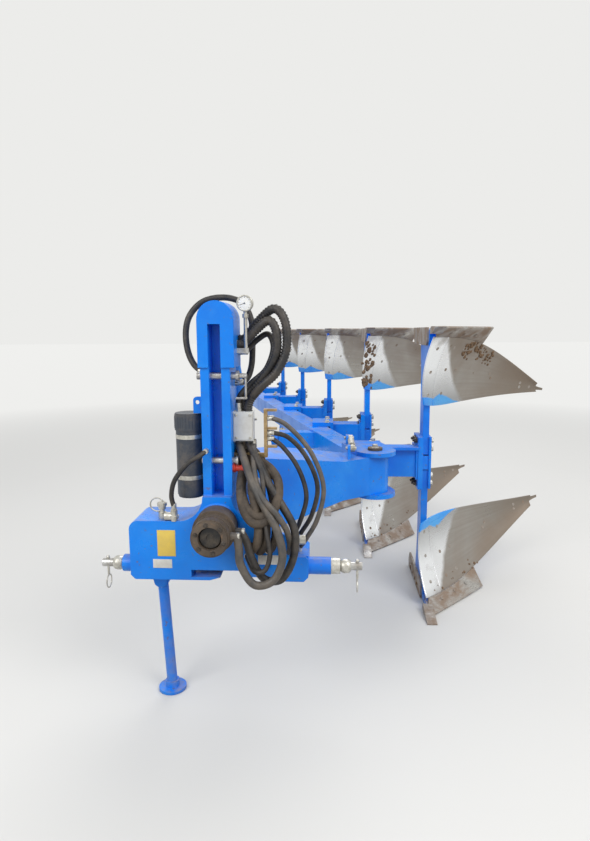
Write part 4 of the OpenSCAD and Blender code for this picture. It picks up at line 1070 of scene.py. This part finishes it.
# Hoses tied beside those routes, which make the thick bundles right of the tower
BUNDLE_LINES = (
    (SLEEVE_D, "ribbed_guard", (
        (CHEEK_X, 64, 968), (CHEEK_X + 42, 64, 968), (168, 58, 1030), (222, 46, 1068), (252, 36, 1026),
        (256, 34, 940), (222, 46, 862), (168, 64, 800), (114, 72, 742), (106, 74, BOX_TOP + 18),
        (106, 74, BOX_TOP))),
    (SLEEVE_D, "woven_sleeve", (
        (CHEEK_X, 84, 486), (CHEEK_X + 26, 84, 486), (124, 44, 470), (146, -24, 428), (156, -84, 362),
        (174, -118, 284), (186, -136, 212), (180, -134, 150), (160, -110, 112), (146, -84, 104),
        (146, -60, 104))),
    (LOOP_D, "woven_sleeve", (
        (CHEEK_X, 120, 504), (CHEEK_X + 24, 120, 504), (146, 92, 494), (186, 30, 452), (216, -22, 392),
        (240, -58, 312), (252, -84, 226), (250, -96, 152), (236, -96, 112), (222, -84, 100),
        (222, -60, 100))),
    (HOSE_D, "hose_rubber", (
        (CHEEK_X, 100, 528), (CHEEK_X + 22, 100, 528), (132, 62, 520), (176, -10, 470), (200, -76, 400),
        (206, -110, 300), (222, -152, 200), (236, -166, 110), (214, -170, 44), (170, -160, 34),
        (140, -110, 60), (128, -84, 72), (128, -60, 72))),
    (SLEEVE_D, "woven_sleeve", (
        (106, 64, BOX_LOW), (106, 64, BOX_LOW - 20), (110, 62, 484), (110, 46, 434), (106, -10, 394),
        (110, -70, 346), (138, -116, 292), (184, -132, 262), (232, -120, 278), (264, -88, 330),
        (262, -40, 390), (230, 6, 430), (186, 40, 456), (180, 46, 466), (180, 46, 478))),
    (SLEEVE_D, "woven_sleeve", (
        (CHEEK_X, 60, 436), (CHEEK_X + 22, 60, 436), (100, 10, 420), (102, -50, 378), (110, -98, 322),
        (134, -130, 268), (172, -146, 236), (216, -138, 244), (252, -112, 290), (268, -72, 350),
        (250, -20, 404), (196, 18, 432), (142, 40, 454), (138, 46, 466), (138, 46, 478))),
    (BIG_HOSE_D, "grey_hose", (
        (146, 66, BOX_LOW), (146, 66, BOX_LOW - 20), (150, 20, 500), (160, -40, 440), (178, -96, 380),
        (214, -136, 330), (262, -150, 280), (300, -140, 214), (314, -112, 150), (312, -80, 100),
        (306, -50, 78), (300, -20, 76), (270, 8, 74), (262, 10, 66), (262, 10, 60))),
)


def even_steps(line, step):
    """Points a fixed step apart along a line, for the ribs of a guard."""
    made, left = [line[0]], step
    for a, b in zip(line, line[1:]):
        length = (b - a).length
        while left < length:
            made.append(a.lerp(b, left / length))
            left += step
        left -= length
    return made + [line[-1]]


FITTING_MAX_R = 0.0135


def hose_fitting(name, radius):
    """Crimped ferrule with its nut, standing on the port that a hose screws into."""
    nut = turned(name, [(radius * 1.15, 0), (radius * 1.15, radius * 0.9), (radius * 1.02, radius * 1.0)], 6)
    outline = [(radius * 1.04, radius * 0.9), (radius * 1.10, radius * 1.1), (radius * 1.10, radius * 2.6),
               (radius * 1.03, radius * 2.8)]
    return joined(name, [nut, turned(name, outline, 20)])


def hose_run(name, width, material, route, fittings):
    """One hose along its route, with a fitting at each end."""
    line = spline(route)
    radius = width * MM / 2
    for end, inner in ((line[0], line[1]), (line[-1], line[-2])):
        fitting = hose_fitting("hose_fittings", min(radius, FITTING_MAX_R))
        fittings.append(place_at(fitting, end, inner - end))
    if material == "ribbed_guard":
        rib_step, rib_depth = 0.0065, 0.10
        return dress(tube(name, even_steps(line, rib_step), radius, 16, rib_depth), "hose_rubber")
    return dress(tube(name, line, radius, 20), material)


def hoses():
    """Hoses in place of the CAD groups, those tied beside them, and their fittings."""
    fittings = []
    for node, lines in HOSE_LINES.items():
        name = node + "_smooth"
        piece = joined(name, [hose_run(name, *row, fittings) for row in lines])
        ride(piece, "headstock")
        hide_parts(node)
    name = "bundled_hoses"
    ride(joined(name, [hose_run(name, *row, fittings) for row in BUNDLE_LINES]), "headstock")
    ride(joined("hose_fittings", fittings), "headstock", "zinc")


# Depth wheel

TYRE_SIDE = ((0.168, 0.062), (0.182, 0.070), (0.200, 0.078), (0.222, 0.083), (0.244, 0.084), (0.258, 0.079),
             (0.266, 0.070), (0.270, 0.056))
TYRE_TREAD = (0.272, 0.0)
TYRE_OUTLINE = [(radius, -across) for radius, across in TYRE_SIDE] + [TYRE_TREAD, *reversed(TYRE_SIDE)]
LUG_COUNT, LUG_SIZE, LUG_R, LUG_ACROSS = 30, (0.016, 0.018, 0.066), 0.271, 0.040


def tyre():
    """The tyre with two staggered rows of lugs."""
    parts = [ring_turned("depth_tyre", TYRE_OUTLINE, 72)]
    for i in range(LUG_COUNT):
        angle = 2 * math.pi * i / LUG_COUNT
        for side in (-1, 1):
            lug = plate("depth_tyre", LUG_SIZE, (LUG_R, 0, side * LUG_ACROSS), 0.003)
            lug.data.transform(Matrix.Rotation(angle + side * math.pi / (2 * LUG_COUNT), 4, "Z"))
            parts.append(lug)
    piece = place_at(joined("depth_tyre", parts), WHEEL, X)
    ride(piece, "wheel", "tyre_rubber")
    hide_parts("wheel_tyre")


def wheel_fittings():
    """Wheel nuts and hub cap, on the outer side."""
    nut_seat, nut_ring_r, cap_seat = 0.008, 0.085, 0.045
    outer = (WHEEL.x - nut_seat, WHEEL.y, WHEEL.z)
    nuts = [(point, -X) for point in ring_points(outer, X, nut_ring_r, 5, 0.3)]
    bolts("wheel_nuts", 0.013, nuts, "wheel", "zinc", 0.008)
    cap = [(0.040, 0), (0.040, 0.014), (0.034, 0.022), (0.014, 0.026)]
    round_piece("hub_cap", cap, 28, (WHEEL.x - cap_seat, WHEEL.y, WHEEL.z), -X, "wheel", "dark_bolt")


# Camera, floor and lights

CAMERA_AT = Vector((0.473, -2.493, 1.023))
CAMERA_PITCH, CAMERA_YAW, CAMERA_ROLL = 8.58, -3.21, 0.33
FOCAL_PX = 593.0
FRAME_HEIGHT_PX = 841
SENSOR = 36.0


def add_camera():
    bpy.ops.object.camera_add(location=CAMERA_AT)
    camera = bpy.context.object
    yaw = Matrix.Rotation(math.radians(-CAMERA_YAW), 3, "Z")
    pitch = Matrix.Rotation(math.radians(90 - CAMERA_PITCH), 3, "X")
    roll = Matrix.Rotation(math.radians(-CAMERA_ROLL), 3, "Z")
    camera.rotation_euler = (yaw @ pitch @ roll).to_euler()
    camera.data.sensor_fit = "VERTICAL"
    camera.data.sensor_height = SENSOR
    camera.data.lens = FOCAL_PX / FRAME_HEIGHT_PX * SENSOR
    camera.data.clip_end = 200
    bpy.context.scene.camera = camera


def add_floor():
    """Floor that takes shadows near the plough and fades into the pale background far from it."""
    bpy.ops.mesh.primitive_plane_add(size=120, location=(0, 20, FLOOR_Z - 0.001))
    floor = settle(bpy.context.object, "floor")
    s = Shader("pale_floor")
    seen = s.seen()
    color = s.mix(seen, rgb(176, 170, 162), rgb(214, 212, 208))
    far = s.add("ShaderNodeVectorMath", operation="DISTANCE")
    s.put(far.inputs[0], s.coords)
    far.inputs[1].default_value = (0.4, 2.6, FLOOR_Z)
    fade_from, fade_to = 3.6, 10.0
    fade = s.times(s.ramp(far.outputs["Value"], fade_from, fade_to), seen)
    color = s.mix(fade, color, rgb(0, 0, 0))
    s.finish(color, 0.95, specular=0.1, glow=fade)
    dress(floor, "pale_floor")


def add_world():
    """Soft light all round; pale where the camera or a mirror looks straight at it."""
    world = bpy.data.worlds.new("studio")
    bpy.context.scene.world = world
    s = Shader("studio", world)
    soft = s.add("ShaderNodeBackground", Color=rgb(226, 230, 234), Strength=0.75)
    pale = s.add("ShaderNodeBackground", Color=PALE)
    choose = s.add("ShaderNodeMixShader")
    s.put(choose.inputs[0], s.seen())
    s.put(choose.inputs[1], soft.outputs[0])
    s.put(choose.inputs[2], pale.outputs[0])
    s.add("ShaderNodeOutputWorld", Surface=choose.outputs[0])


def add_lights():
    for place, size, power, aim in (
            ((-3.5, -4.5, 4.5), 4.0, 230, (0.2, 0.5, 0.2)),
            ((4.5, -3.0, 5.0), 4.0, 260, (0.8, 1.5, 0.2)),
            ((1.0, 6.0, 6.5), 6.0, 300, (0.4, 2.5, 0.2))):
        bpy.ops.object.light_add(type="AREA", location=place)
        lamp = bpy.context.object
        lamp.data.size = size
        lamp.data.energy = power
        lamp.rotation_euler = (Vector(aim) - Vector(place)).to_track_quat("-Z", "Y").to_euler()


bpy.context.scene.view_settings.view_transform = "Standard"
dress_nodes()
add_camera()
add_floor()
add_world()
add_lights()
for above_beam in (False, True):
    soil_surfaces(above_beam)
    plough_bolts(above_beam)
caked_soil()
frame_bolts()
clamp_rods()
weld_seams()
blank_plates()
gauge_face()
linch_pins()
rotary_union_bolts()
red_dust_cap()
coupler_caps()
box_fittings()
tube_fittings()
stand_clip()
cylinder_fittings()
link_balls()
hoses()
tyre()
wheel_fittings()
